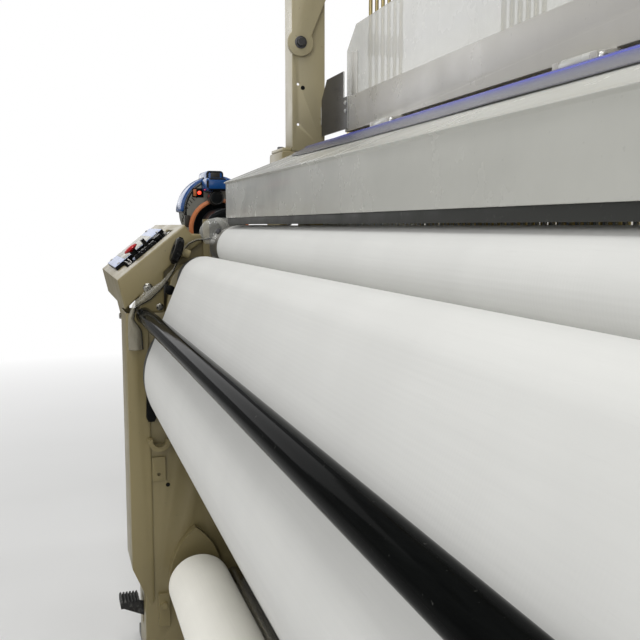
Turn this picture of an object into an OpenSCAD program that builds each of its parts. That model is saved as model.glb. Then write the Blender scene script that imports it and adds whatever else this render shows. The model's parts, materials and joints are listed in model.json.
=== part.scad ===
// Shuttleless power loom with a water jet, an overhead shedding box and a
// front cloth take-up. Millimetres. X runs along the loom, seen from the
// operator's side, +Y goes to the warp beam and +Z is up. The origin is on the
// floor, in the middle of the four foundation bolts.

/* [Cloth] */
// Width of the woven cloth
cloth_w = 1900; // [1700:10:2300]
// Height of the cloth over the floor where it passes over the breast roller
cloth_top = 1030; // [1010:1:1050]
// Thickness of the cloth
cloth_t = 0.8; // [0.5:0.1:1.2]
// Thickness of the sheet of warp ends
warp_t = 1.2; // [0.8:0.1:2]
// Free gap between the cloth and a turning roller
cloth_gap = 0.3; // [0.3:0.05:0.5]

/* [Rollers] */
// Radius of the breast roller
breast_r = 49; // [46:0.5:51]
// Radius of the upper guide roller over its rubber
guide_r = 54; // [50:0.5:57]
// Radius of the take-up roller over its rubber
takeup_r = 148; // [140:0.5:152]
// Radius of the press roller behind the take-up roller
press_r = 40; // [36:0.5:43]
// Radius of the roll of finished cloth
cloth_roll_r = 70; // [50:1:74]
// Length of rubber that shows past each edge of the cloth
rubber_over = 40; // [30:1:44]
// Length of bare steel past the cloth at each end of the breast roller
breast_over = 140; // [120:1:142]
// Radius of the bare steel ends of the breast roller
breast_end_r = 40; // [32:0.5:41]
// Gap between the breast roller and the guide roller
guide_gap = 3; // [2.5:0.1:4]
// Gap between the take-up roller and the rollers next to it
takeup_gap = 6.5; // [4:0.1:8]
// Radius of the black guard tube
tube_r = 18; // [15:0.5:20]
// Radius of the spreader pipe behind the cloth roll
pipe_r = 16; // [13:0.5:17]
// Radius of the roller journals
journal_r = 15; // [12:0.5:18]
// Radial running clearance of a journal in its bore
run_fit = 0.06; // [0.03:0.01:0.1]

/* [Side frames] */
// Free space between the edge of the cloth and a side frame
frame_gap = 60; // [56:1:75]
// Width of a side frame along the loom
frame_w = 120; // [112:1:140]
// Thickness of the web of a side frame
web_t = 30; // [24:1:36]
// Place of the front edge of the side frames, from the foundation centre
frame_front = 673; // [665:1:674]
// Place of the rear edge of the side frames, from the foundation centre
frame_rear = 700; // [695:1:730]
// Thickness of the foot plates
foot_t = 25; // [20:1:30]
// Radius of a foundation bolt hole
bolt_hole_r = 11; // [9:0.5:13]
// Distance between the front and the rear foundation bolts
bolt_span_y = 1180; // [1160:5:1200]
// Thickness of the sheet metal covers
sheet_t = 3; // [2:0.25:4]

/* [Warp] */
// Radius of the warp beam flanges
flange_r = 400; // [360:5:405]
// Radius of the yarn on the warp beam
yarn_r = 330; // [200:5:345]
// Radius of the barrel of the warp beam
barrel_r = 100; // [80:5:120]
// Radius of the back rest roller
rest_r = 60; // [50:1:64]

/* [Healds and sley] */
// Number of heald frames
heald_n = 6; // [6:1:6]
// Distance between two heald frames
heald_pitch = 14; // [13:0.5:15]
// Thickness of a heald frame
heald_t = 9; // [8:0.5:10]
// Height of a heald frame from the bottom rail to the top rail
heald_h = 480; // [460:5:490]
// Number of healds drawn in one frame
wires = 60; // [30:1:90]
// Number of dents drawn in the reed
dents = 110; // [60:1:120]
// Height of the reed
reed_h = 105; // [95:1:110]
// Radius of the rocking shaft of the sley
rocker_r = 30; // [26:1:32]
// Depth of the sley beam from front to back
sley_d = 60; // [54:1:62]

/* [Operator box] */
// Length of the operator box along the loom
box_w = 530; // [500:5:560]
// Radius of the stop button
stop_r = 18; // [15:0.5:20]
// Radius of a push button
push_r = 11; // [9:0.5:12]
// Radial clearance of a button stem
stem_fit = 0.08; // [0.05:0.01:0.1]

/* [Drive] */
// Radius of the drive pulley
pulley_r = 200; // [180:5:210]
// Radius of the motor pulley
motor_pulley_r = 60; // [50:1:65]
// Width of the belt
belt_w = 50; // [40:1:54]
// Thickness of the belt
belt_t = 6; // [5:0.5:8]

/* [Hidden] */
$fn = 48;

// Planes along the loom
frame_in = cloth_w / 2 + frame_gap;
frame_out = frame_in + frame_w;
web_out = frame_in + web_t;
lug_in = frame_out - web_t;
rubber_end = cloth_w / 2 + rubber_over;

// Roller centres as [y, z], each placed from the one that it nearly touches
function polar(c, r, a) = [c[0] + r * cos(a), c[1] + r * sin(a)];
breast_y = -457;
breast_c = [breast_y, cloth_top - cloth_t - cloth_gap - breast_r];
guide_c = polar(breast_c, breast_r + guide_r + guide_gap, 222.7);
takeup_c = polar(guide_c, guide_r + takeup_r + takeup_gap, -85.9);
press_c = polar(takeup_c, takeup_r + press_r + takeup_gap, 46);
tube_c = polar(takeup_c, takeup_r + tube_r + 26, 136.5);
cloth_roll_c = [-557, 223];
pipe_c = polar(cloth_roll_c, 74 + pipe_r + 2, -7.5);
fell_y = -338;
heavy_journal_r = 25;

// Warp side
beam_c = [420, 520];
beam_shaft_r = 30;
rest_c = [640, cloth_top - 20];

// Sley and healds
sley_c = [-250, 560];
sley_beam_z = cloth_top - 70;
sley_beam_h = 45;
sley_len = cloth_w / 2 + 35;
sword_x = [-900, -450, 0, 450, 900] * cloth_w / 1900;
heald_y0 = -190;
heald_bottom = cloth_top - 240;
heald_half = cloth_w / 2 + 35;
heald_last = heald_y0 + (heald_n - 1) * heald_pitch;
rod_r = 4;
hanger_x = [-850, -300, 300, 850] * cloth_w / 1900;
puller_x = [-600, 600] * cloth_w / 1900;

// Superstructure
column_z = cloth_top + 170;
column_y = [-317, -239];
column_w = 60;
arm_t = 12;
beam_y = [-240, -60];
beam_z = [cloth_top + 710, cloth_top + 830];
beam_wall = 6;
rod_top = (beam_z[0] + beam_z[1]) / 2;

// Operator box: its end outline as [y, z] offsets from the cloth height
leg_top = cloth_top - 192;
box_x0 = frame_in;
box_x1 = frame_in + box_w;
desk_low = [-716, cloth_top - 119];
desk_high = [-567, cloth_top + 2];
desk_a = atan2(desk_high[1] - desk_low[1], desk_high[0] - desk_low[0]);
desk_len = norm(desk_high - desk_low);
plate_mid = frame_in + box_w / 2;

// Hood
hood_half = cloth_w / 2 - 20;
hood_front = -490;
hood_low = cloth_top + 16;
hood_edge = cloth_top + 94;
hood_hinge = [-263, cloth_top + 187];
panel_half = cloth_w / 2 - 95;
panel_front = -245;
panel_z = [cloth_top + 198, cloth_top + 270];

// Drive at the right end
pulley_c = [150, 480];
motor_c = [-230, 300];
pulley_x = frame_out + 70;
pulley_shaft_r = 28;
motor_shaft_r = 14;
rim_t = 16;
cover_x1 = frame_out + 520;

// Foot pedal, in a slot of the leg
pedal_in = 55;
pedal_c = [-646, 118];
pedal_pin_r = 8;
pedal_slot = 13;

// Feeder at the left end
feeder_c = [-424, cloth_top - 9];
feeder_x = -(frame_in + 330);

// General shapes

// A [y, z] outline drawn along X from x0 to x1
module along_x(x0, x1)
  translate([x0, 0, 0]) rotate([90, 0, 90]) linear_extrude(x1 - x0) children();

// A rod along X round the [y, z] centre c
module rod(c, r, x0, x1)
  translate([x0, c[0], c[1]]) rotate([0, 90, 0]) cylinder(r = r, h = x1 - x0);

// A box given by its low and high corners
module block(a, b) translate(a) cube(b - a);

// The same shape at both ends of the loom
module both_ends() {
  children();
  mirror([1, 0, 0]) children();
}

module rect(y, z) translate([y[0], z[0]]) square([y[1] - y[0], z[1] - z[0]]);

// Heading of the straight run between two guides of a web, each
// [centre, radius, turn], where turn is 1 to the left and -1 to the right
function heading(p, q) =
  let (v = q[0] - p[0], ds = q[1] * q[2] - p[1] * p[2])
  atan2(v[1], v[0]) - asin(ds / norm(v));
function turn_left(a, b) = let (d = b - a) d - 360 * floor(d / 360);
// Points of one side of the web on guide i
function guide_arc(g, i, off, step = 7.5) =
  let (n = len(g), c = g[i][0], r = g[i][1], s = g[i][2],
    h0 = i == 0 ? heading(g[0], g[1]) : heading(g[i - 1], g[i]),
    h1 = i == n - 1 ? h0 : heading(g[i], g[i + 1]),
    sweep = r < 1 || i == 0 || i == n - 1 ? 0
      : s > 0 ? turn_left(h0, h1) : -turn_left(h1, h0),
    k = max(1, ceil(abs(sweep) / step)),
    rr = r < 1 ? s * off : r - s * off)
  sweep == 0 ? [polar(c, r < 1 ? off : rr, r < 1 ? h1 + 90 : h0 - 90 * s)]
    : [for (j = [0:k]) polar(c, rr, h0 + sweep * j / k - 90 * s)];
function web_side(g, off) =
  [for (i = [0:len(g) - 1]) for (p = guide_arc(g, i, off)) p];
// A web of thickness t that runs over the guides g
module web(g, t) {
  low = web_side(g, t / 2);
  high = web_side(g, -t / 2);
  polygon(concat(low, [for (i = [len(high) - 1:-1:0]) high[i]]));
}

// Side frames

// Outline of a side frame, with the nose under the breast roller
frame_outline = [[-frame_front, foot_t], [-frame_front, leg_top],
  [-612, leg_top], [-600, cloth_top - 115], [-575, cloth_top - 85],
  [-518, cloth_top - 85], [-508, cloth_top - 105], [-395, cloth_top - 105],
  [-385, cloth_top - 45], [-350, cloth_top - 45], [-340, column_z],
  [60, column_z], [200, cloth_top + 55],
  [frame_rear, cloth_top + 55], [frame_rear, foot_t]];
front_pocket = [[-610, 200], [-630, 455], [-630, 600], [-420, 600],
  [-330, 520], [-320, 400], [-320, 70], [-560, 70]];
middle_pocket = [[-280, 70], [-60, 70], [-60, 330], [-280, 400]];
rear_pocket = [[-10, 70], [640, 70], [640, 950], [560, 950], [150, 700],
  [60, 500], [-10, 420]];
upper_pocket = [[-140, 760], [40, 760], [180, 940], [520, 990],
  [120, 1010], [20, column_z - 70], [-140, column_z - 70]];
pick_window_y = [-330, -270];
pick_window_z = [cloth_top - 25, cloth_top + 45];
lug_r = 34;

module leaf(half_w, half_h) {
  r = (half_w * half_w + half_h * half_h) / (2 * half_w);
  intersection() {
    translate([r - half_w, 0]) circle(r = r);
    translate([half_w - r, 0]) circle(r = r);
  }
}

// A casting boss from the web to the outer face
module boss(c, r) rod(c, r, frame_in, frame_out);
journal_seat = 60;

module side_frame() {
  difference() {
    union() {
      difference() {
        along_x(frame_in, frame_out) polygon(frame_outline);
        along_x(web_out, frame_out + 1) {
          polygon(front_pocket);
          polygon(middle_pocket);
          polygon(rear_pocket);
          polygon(upper_pocket);
        }
        along_x(frame_in - 1, frame_out + 1) rect(pick_window_y, pick_window_z);
      }
      translate([frame_in, cloth_roll_c[0], cloth_roll_c[1]])
        rotate([90, 0, 90]) linear_extrude(frame_w) leaf(66, 125);
      boss(takeup_c, 75);
      boss(beam_c, 90);
      boss(sley_c, 62);
      boss(pulley_c, 60);
      rod(breast_c, lug_r, lug_in, frame_out);
      along_x(lug_in, frame_out)
        rect([breast_c[0] - lug_r, breast_c[0] + lug_r],
          [cloth_top - 110, breast_c[1]]);
    }
    rod(breast_c, journal_r + run_fit, lug_in - 1, frame_out + 1);
    for (c = [guide_c, press_c, rest_c])
      rod(c, journal_r + run_fit, frame_in - 1, frame_in + journal_seat);
    rod(takeup_c, heavy_journal_r + run_fit, frame_in - 1, frame_out + 1);
    rod(cloth_roll_c, 24, frame_in - 1, frame_in + 40);
    rod(beam_c, beam_shaft_r + run_fit, frame_in - 1, frame_out + 1);
    rod(sley_c, rocker_r + run_fit, frame_in - 1, frame_in + 70);
    rod(pulley_c, pulley_shaft_r + run_fit, frame_in + 20, frame_out + 1);
    // Slot and pin holes for the foot pedal
    block([frame_in + pedal_in - pedal_slot, -frame_front - 1, pedal_c[1] - 24],
      [frame_in + pedal_in + pedal_slot, pedal_c[0] + 24, pedal_c[1] + 44]);
    rod(pedal_c, pedal_pin_r + run_fit, frame_in + pedal_in - 26,
      frame_in + pedal_in + 26);
  }
}

module left_side_frame() color("darkkhaki") mirror([1, 0, 0]) side_frame();
module right_side_frame() color("darkkhaki") side_frame();

// Foot plates with one foundation bolt hole each
foot_x = [frame_in - 10, frame_out + 80];
bolt_x = frame_out + 45;
module machine_feet() color("dimgray")
  both_ends() for (s = [-1, 1])
    translate([0, s * bolt_span_y / 2, 0]) difference() {
      block([foot_x[0], -80, 0], [foot_x[1], 80, foot_t]);
      translate([bolt_x, 0, -1]) cylinder(r = bolt_hole_r, h = foot_t + 2);
    }

// Folded covers on the front legs, cut to a point at the bottom
cover_gap = 0.5;
cover_low = 160;
cover_outline = [[-700, leg_top], [-700, 252], [-661, cover_low],
  [-652, 172], [-652, leg_top]];
module leg_covers() color("darkkhaki") both_ends() difference() {
  along_x(frame_in - cover_gap - sheet_t, frame_out + cover_gap + sheet_t)
    polygon(cover_outline);
  along_x(frame_in - cover_gap, frame_out + cover_gap)
    rect([-700 + sheet_t, -600], [cover_low - 1, leg_top + 1]);
  rod(tube_c, tube_r + 1, 0, frame_in);
}

// Tie beams between the side frames
module tie(y, z) along_x(-frame_in, frame_in) difference() {
  rect(y, z);
  rect([y[0] + tie_wall, y[1] - tie_wall], [z[0] + tie_wall, z[1] - tie_wall]);
}
tie_wall = 8;
front_tie_y = [-430, -330];
front_tie_z = [60, 170];
centre_tie_y = [-225, -55];
centre_tie_z = [60, 160];
rear_tie_y = [frame_rear - 120, frame_rear - 20];
rear_tie_z = [40, 140];
module cross_beams() color("darkkhaki") {
  tie(front_tie_y, front_tie_z);
  tie(centre_tie_y, centre_tie_z);
  tie(rear_tie_y, rear_tie_z);
}

// Posts on the side frames that carry the top beam
module columns() color("ivory") both_ends() {
  difference() {
    block([frame_in, column_y[0], column_z],
      [frame_in + column_w, column_y[1], beam_z[0] - 60]);
    block([frame_in + 5, column_y[0] + 5, column_z - 1],
      [frame_in + column_w + 1, column_y[1] - 5, beam_z[0] - 50]);
    for (z = [column_z + 150, column_z + 60])
      rod([column_y[0] + 14, z], 3, frame_in - 1, frame_in + 6);
  }
  difference() {
    block([frame_in + 6, -338, column_z],
      [frame_out - 10, -200, column_z + 8]);
    block([frame_in + 5, column_y[0] - 1, column_z - 1],
      [frame_in + column_w + 1, column_y[0] + 6, column_z + 9]);
    block([frame_in + 5, column_y[1] - 6, column_z - 1],
      [frame_in + column_w + 1, column_y[1] + 1, column_z + 9]);
  }
}

// Plates that lean back from the posts to the ends of the top beam
arm_c = [-300, cloth_top + 410];
module column_arms() color("ivory") both_ends()
  along_x(frame_in - arm_t, frame_in) difference() {
    union() {
      polygon([[-320, arm_c[1]], [-320, beam_z[0] - 60],
        [beam_y[0], beam_z[1]], [beam_y[1], beam_z[1]],
        [beam_y[1], beam_z[0]], [-120, beam_z[0] - 60],
        [-239, arm_c[1] + 100], [-290, arm_c[1] - 20]]);
      translate(arm_c) circle(r = 30);
    }
    translate([-180, beam_z[0] - 20]) circle(r = 22);
  }

// Hollow beam over the healds, slotted below for their hangers
module top_beam() color("ivory") difference() {
  along_x(arm_t - frame_in, frame_in - arm_t) difference() {
    rect(beam_y, beam_z);
    rect([beam_y[0] + beam_wall, beam_y[1] - beam_wall],
      [beam_z[0] + beam_wall, beam_z[1] - beam_wall]);
  }
  for (x = hanger_x)
    block([x - 15, heald_y0 - 15, beam_z[0] - 1],
      [x + 15, heald_last + 15, beam_z[0] + beam_wall + 1]);
}

// Hood over the sley: one folded sheet with closed ends
hood_path = [[hood_front + 22, hood_low], [hood_front, hood_low],
  [hood_front, hood_edge - 6], [hood_front - 5, hood_edge - 3],
  [hood_front, hood_edge], hood_hinge];
module folded(p, t) {
  inner = [for (i = [0:len(p) - 1])
    let (a = p[max(i - 1, 0)], b = p[i], c = p[min(i + 1, len(p) - 1)],
      u = i > 0 ? (b - a) / norm(b - a) : (c - b) / norm(c - b),
      v = i < len(p) - 1 ? (c - b) / norm(c - b) : u,
      m = (u + v) / norm(u + v), k = t / (m * u))
    b + k * [m[1], -m[0]]];
  polygon(concat(p, [for (i = [len(inner) - 1:-1:0]) inner[i]]));
}
module hood_end() {
  polygon([[hood_front + 22, hood_low + 6], [hood_front, hood_low],
    [hood_front, hood_edge], hood_hinge, [hood_hinge[0], hood_hinge[1] - 40],
    [hood_hinge[0] - 40, hood_hinge[1] - 60]]);
}
hinge_pin_r = 5;
hinge_x = [-600, 0, 600];
ear_x = 37;
ear_t = 12;
module front_hood() color("gainsboro") difference() {
  union() {
    along_x(-hood_half, hood_half) folded(hood_path, sheet_t);
    along_x(hood_half - sheet_t, hood_half) hood_end();
    along_x(-hood_half, sheet_t - hood_half) hood_end();
    for (x = hinge_x) rod(hood_hinge, 9, x - 30, x + 30);
  }
  for (x = hinge_x) {
    rod(hood_hinge, hinge_pin_r + run_fit, x - 31, x + 31);
    for (s = [-1, 1])
      rod(hood_hinge, 15, x + s * ear_x - ear_t / 2 - 0.5,
        x + s * ear_x + ear_t / 2 + 0.5);
  }
}

// Flexible strip that seals the gap over the hood
hood_a = atan2(hood_hinge[1] - hood_edge, hood_hinge[0] - hood_front);
strip_t = 3;
module hood_seal_strip() color("cornflowerblue")
  along_x(-hood_half, hood_half)
    translate([hood_front, hood_edge]) rotate(hood_a)
      translate([0, 0.3]) polygon([[130, 0], [228, 0], [228, strip_t],
        [212, strip_t], [205, strip_t + 3], [198, strip_t], [130, strip_t]]);

// Grey panel over the hood, with the ears that hold the hood's hinge pins
panel_tab = 5;
module upper_front_panel() color("silver") {
  along_x(-panel_half, panel_half)
    folded([[panel_front + 30, panel_z[0]], [panel_front, panel_z[0]],
      [panel_front, panel_z[1]], [panel_front + 40, panel_z[1]]], sheet_t);
  for (x = hinge_x) {
    for (s = [-1, 1])
      along_x(x + s * ear_x - ear_t / 2, x + s * ear_x + ear_t / 2)
      polygon([[hood_hinge[0] - 9, hood_hinge[1] - 9],
        [panel_front + 30, hood_hinge[1] - 9],
        [panel_front + 30, panel_z[0]], [panel_front, panel_z[0]],
        [hood_hinge[0] - 9, hood_hinge[1] + 6]]);
    rod(hood_hinge, hinge_pin_r, x - 31, x + 31);
  }
  both_ends() {
    block([panel_half - 40, panel_front + 30, panel_z[1] - sheet_t],
      [frame_in, panel_front + 46, panel_z[1]]);
    block([frame_in - panel_tab, column_y[1] - 10, panel_z[1] - 40],
      [frame_in, panel_front + 46, panel_z[1]]);
  }
}

// Clear panel that keeps the spray off the healds, and a smaller one in each
// gap between the grey panel and a column
guard_y = -215;
guard_low = panel_z[1];
wing_z = [panel_z[0] + 6, panel_z[1] + 55];
wing_in = panel_half - 20;
wing_out = frame_in - panel_tab - 0.3;
module splash_guard() color("white", 0.5) {
  translate([0, guard_y, 0]) rotate([90, 0, 0]) linear_extrude(4) polygon([
    [34 - cloth_w / 2, guard_low], [cloth_w / 2 - 34, guard_low],
    [cloth_w / 2 - 34, guard_low + 110], [cloth_w / 2 - 90, guard_low + 155],
    [90 - cloth_w / 2, guard_low + 155], [34 - cloth_w / 2, guard_low + 110]]);
  both_ends() translate([0, panel_front - 0.3, 0]) rotate([90, 0, 0])
    linear_extrude(3) polygon([[wing_in, wing_z[0]], [wing_out, wing_z[0]],
      [wing_out, wing_z[1] - 40], [wing_out - 38, wing_z[1]],
      [wing_in + 22, wing_z[1]], [wing_in + 22, guard_low],
      [wing_in, guard_low]]);
}

// Operator box: a leaning console on a foot and a gusset
box_outline = [desk_low, desk_high, [-552, cloth_top - 19],
  [-528, cloth_top - 19], [-528, cloth_top - 37], [-590, cloth_top - 80],
  [-701, cloth_top - 185]];
// Puts children on the sloping desk, with z along its normal
module on_desk(x, along)
  translate([x, desk_low[0], desk_low[1]]) rotate([desk_a, 0, 0])
    translate([0, along, 0]) children();
// A block on the desk, with x and its place up the slope from the middle
module desk_block(x, s, z) on_desk(-plate_mid, desk_len / 2)
  translate([x[0], s[0], z[0]]) cube([x[1] - x[0], s[1] - s[0], z[1] - z[0]]);
tray_x = [80, 185];
tray_s = [-56, 77];
lid_x = [-165, 85];
lid_s = [-77, 68];
lid_h = 10;
module console() {
  difference() {
    along_x(-box_x1, -box_x0) polygon(box_outline);
    desk_block(tray_x, tray_s, [-10, 40]);
    desk_block(tray_x + [12, -12], tray_s + [12, -12], [-60, 40]);
  }
  along_x(-frame_out, -frame_in) polygon([[-668, leg_top], [-615, leg_top],
    [-615, cloth_top - 103], [-668, cloth_top - 153]]);
  translate([0, -680, 0]) rotate([90, 0, 0]) linear_extrude(8) polygon([
    [-frame_out - 4, cloth_top - 270], [-frame_out - 4, cloth_top - 164],
    [-frame_out - 345, cloth_top - 164], [-frame_out - 345, cloth_top - 185]]);
}
module operator_box() color("darkkhaki") console();

// Stations on the desk: x and place up the slope from the desk's middle
stop_at = [126, -21];
start_at = [105, 42];
reverse_at = [140, 42];
selector_at = [125, 12];
plate_top = -6;
module at_station(s) on_desk(s[0] - plate_mid, desk_len / 2 + s[1])
  translate([0, 0, plate_top]) children();
module stem_hole(r) translate([0, 0, -30]) cylinder(r = r + stem_fit, h = 50);
// Raised lid with a sunk tray of switches along its inner side
module switch_plate() color("lightsteelblue") difference() {
  union() {
    desk_block(lid_x, lid_s, [0, lid_h]);
    desk_block(tray_x + [0.5, -0.5], tray_s + [0.5, -0.5], [-10, plate_top]);
    desk_block([tray_x[0] + 0.5, lid_x[1]], [tray_s[0] + 0.5, lid_s[1]],
      [-10, lid_h]);
    desk_block([154, 174], [-30, 30], [plate_top - 1, 3]);
    at_station(stop_at) translate([0, 0, -1]) cylinder(r = 14, h = 9);
  }
  at_station(stop_at) stem_hole(9);
  at_station(start_at) stem_hole(push_r - 3);
  at_station(reverse_at) stem_hole(push_r - 3);
  at_station(selector_at) stem_hole(8);
}

// Mushroom head on a stem
mushroom_h = 24;
module mushroom() {
  translate([0, 0, -16]) cylinder(r = 9, h = mushroom_h + 16);
  translate([0, 0, mushroom_h]) rotate_extrude()
    polygon([[0, 0], [stop_r - 3, 0], [stop_r, 3], [stop_r, 7],
      [stop_r - 4, 11], [stop_r - 10, 13], [0, 14]]);
}
module stop_button() color("red") at_station(stop_at) mushroom();
module push_button() {
  translate([0, 0, -16]) cylinder(r = push_r - 3, h = 24);
  translate([0, 0, 8]) cylinder(r1 = push_r, r2 = push_r - 1, h = 7);
}
module start_button() color("black") at_station(start_at) push_button();
module reverse_button() color("black") at_station(reverse_at) push_button();
module selector_switch() color("black") at_station(selector_at) {
  translate([0, 0, -16]) cylinder(r = 8, h = 17);
  translate([0, 0, 0.5]) cylinder(r = 15, h = 9);
  translate([-14, -4, 9]) cube([28, 8, 21]);
}

// Hand knob in front of the inner face of the operator box
knob_lean = 19;
knob_reach = 33;
knob_c = [-582, cloth_top - 57];
knob_stem_r = 6;
knob_stem = 20;
knob_rib_at = 26.5;
module at_knob() translate([knob_reach - frame_in, knob_c[0], knob_c[1]])
  rotate([90 - knob_lean, 0, 0]) children();
module upper_hand_knob() color("black") at_knob() {
  rotate_extrude() polygon([[0, 0], [24, 0], [28, 3], [28, 14], [25, 17],
    [12, 17], [10, 14], [0, 14]]);
  for (a = [0:45:315])
    rotate(a) translate([knob_rib_at, 0, 4]) cylinder(r = 4, h = 9);
  translate([0, 0, -knob_stem]) cylinder(r = knob_stem_r, h = knob_stem + 1);
}

// Clutch lever with a black grip in the slit between the leg and the rollers
lever_x = [6 - frame_in, 18 - frame_in];
lever_c = [-638, cloth_top - 295];
lever_pin_r = 6;
module clutch_lever() color("black") translate([lever_x[0], lever_c[0],
    lever_c[1]]) rotate([90, 0, 90]) difference() {
  union() {
    translate([0, 0, 3]) linear_extrude(6) {
      circle(r = 12);
      polygon([[-11, 2], [9, 2], [-4, -60], [-22, -60]]);
    }
    linear_extrude(lever_x[1] - lever_x[0]) {
      polygon([[-22, -50], [-4, -50], [-3, -132], [-7, -140], [-20, -140],
        [-24, -132]]);
    }
  }
  translate([0, 0, -1]) cylinder(r = lever_pin_r + run_fit, h = 20);
}

// Small castings, plates and pins on the inner faces of the legs
module roller_brackets() color("darkkhaki") {
  // Socket of the hand knob, on a bar from the operator box
  at_knob() difference() {
    union() {
      translate([0, 0, -knob_stem]) cylinder(r = 9.5, h = knob_stem - 3);
      translate([-knob_reach, -9.5, -knob_stem]) cube([knob_reach, 19, 8]);
    }
    translate([0, 0, -knob_stem - 1])
      cylinder(r = knob_stem_r + run_fit, h = knob_stem + 2);
  }
  // Tab that holds the clear cap
  block([-frame_in - 6, -526, cloth_top - 85], [-frame_in, -512, cap_c[1] + 20]);
  rod(lever_c, lever_pin_r, -frame_in, lever_x[1]);
  both_ends() {
    // Half ring that cradles a spare bar
    translate([6 - frame_in, -635, 552]) rotate([90, 0, 90]) difference() {
      cylinder(r = 25, h = 20);
      translate([0, 0, -1]) cylinder(r = 15, h = 22);
      translate([-30, 3, -1]) cube([60, 40, 22]);
    }
    block([-frame_in, -648, 528], [8 - frame_in, -622, 540]);
    // Plate with one bolt hole below it
    difference() {
      block([-frame_in, -651, 454], [6 - frame_in, -621, 510]);
      rod([-636, 470], 4, -frame_in - 1, -frame_in + 9);
    }
    // Stop block by the cloth roll
    block([-frame_in, -644, 108], [8 - frame_in, -618, 186]);
    rod([-631, 160], 8, -frame_in + 7, -frame_in + 18);
  }
}

// Moulded clear cap over the left end of the breast roller: a dome with a
// wing, both cut back round the roller
cap_c = [-500, cloth_top - 6];
cap_r = 31;
wing_r = 12;
wing_a = 10;
wing_reach = 51;
wing_c = polar(cap_c, wing_reach, wing_a);
wing_spread = acos((cap_r - wing_r) / wing_reach);
module roller_end_cap() color("white", 0.5) difference() {
  union() {
    translate([-frame_in, cap_c[0], cap_c[1]]) rotate([0, 90, 0])
      rotate_extrude() polygon([[cap_r - 2, 0], [cap_r, 0], [cap_r, 7],
        [cap_r - 5, 13], [14, 16], [11, 13], [0, 13], [0, 11], [12, 11],
        [14.5, 13.8], [cap_r - 6, 11.3], [cap_r - 2, 6.5]]);
    along_x(-frame_in, 2 - frame_in) difference() {
      union() {
        translate(cap_c) circle(r = cap_r);
        translate(wing_c) circle(r = wing_r);
        polygon([polar(cap_c, cap_r, wing_a + wing_spread),
          polar(cap_c, cap_r, wing_a - wing_spread),
          polar(wing_c, wing_r, wing_a - wing_spread),
          polar(wing_c, wing_r, wing_a + wing_spread)]);
      }
      translate(cap_c) circle(r = cap_r - 2);
    }
  }
  rod(breast_c, breast_end_r + 0.8, -frame_in - 1, 20 - frame_in);
}

// Clear sheet that hangs over the end of the guard tube
vinyl_x = cover_gap + sheet_t + 0.3 - frame_in;
vinyl_t = 3;
module vinyl_cover() color("lightgray", 0.6)
  along_x(vinyl_x, vinyl_x + vinyl_t) polygon([[-702, cloth_top - 273],
    [-702, cloth_top - 178], [-640, cloth_top - 118], [-600, cloth_top - 83],
    [-560, cloth_top - 82], [-540, cloth_top - 92], [-600, cloth_top - 114],
    [-648, cloth_top - 156], [-683, cloth_top - 191],
    [-685, cloth_top - 273]]);

// Round tube across the front
module guard_tube() color("black") difference() {
  rod(tube_c, tube_r, -frame_in, frame_in);
  rod(tube_c, tube_r - 3, 4 - frame_in, frame_in - 4);
}

// Rollers: one turned body with a journal at each end
module roller(c, r, half, journal, reach) {
  rod(c, r, -half, half);
  rod(c, journal, -reach, reach);
}
module breast_roller() color("lightgray") {
  roller(breast_c, breast_r, rubber_end, journal_r, frame_out - 2);
  rod(breast_c, breast_end_r, -cloth_w / 2 - breast_over,
    cloth_w / 2 + breast_over);
}
module guide_roller() color("gray")
  roller(guide_c, guide_r, rubber_end, journal_r, frame_in + 55);
module take_up_roller() color("gray")
  roller(takeup_c, takeup_r, rubber_end, heavy_journal_r, frame_out);
module press_roller() color("gray")
  roller(press_c, press_r, rubber_end, journal_r, frame_in + 55);

// Roll of cloth on its shaft, with end discs
cloth_shaft_r = 20;
module cloth_roll() color("floralwhite") {
  rod(cloth_roll_c, cloth_roll_r, -cloth_w / 2, cloth_w / 2);
  both_ends() {
    rod(cloth_roll_c, min(62, cloth_roll_r - 4), cloth_w / 2 - 1,
      cloth_w / 2 + 10);
    rod(cloth_roll_c, 38, cloth_w / 2 + 9, cloth_w / 2 + 18);
    rod(cloth_roll_c, min(58, cloth_roll_r - 8), cloth_w / 2 + 17,
      cloth_w / 2 + 28);
    rod(cloth_roll_c, cloth_shaft_r, cloth_w / 2 + 27, frame_in + 10);
  }
}
flange_t = 20;
module cloth_roll_bearings() color("darkkhaki") both_ends() difference() {
  union() {
    translate([frame_in - flange_t, cloth_roll_c[0], cloth_roll_c[1]])
      rotate([90, 0, 90]) linear_extrude(flange_t) leaf(60, 118);
    rod(cloth_roll_c, 42, frame_in - flange_t - 6, frame_in);
  }
  rod(cloth_roll_c, cloth_shaft_r + run_fit, frame_in - 40, frame_in + 1);
}

// Cloth from the fell to the cloth roll
function skin(r, t) = r + cloth_gap + t / 2;
cloth_guides = [
  [[fell_y, cloth_top - cloth_t / 2], 0, 1],
  [breast_c, skin(breast_r, cloth_t), 1],
  [press_c, skin(press_r, cloth_t), -1],
  [guide_c, skin(guide_r, cloth_t), 1],
  [takeup_c, skin(takeup_r, cloth_t), 1],
  [pipe_c, skin(pipe_r, cloth_t), -1],
  [cloth_roll_c, skin(cloth_roll_r, cloth_t), -1]];
module cloth_web() color("white")
  along_x(-cloth_w / 2, cloth_w / 2) web(cloth_guides, cloth_t);

module spreader_pipe() color("silver")
  rod(pipe_c, pipe_r, -frame_in, frame_in);

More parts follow.
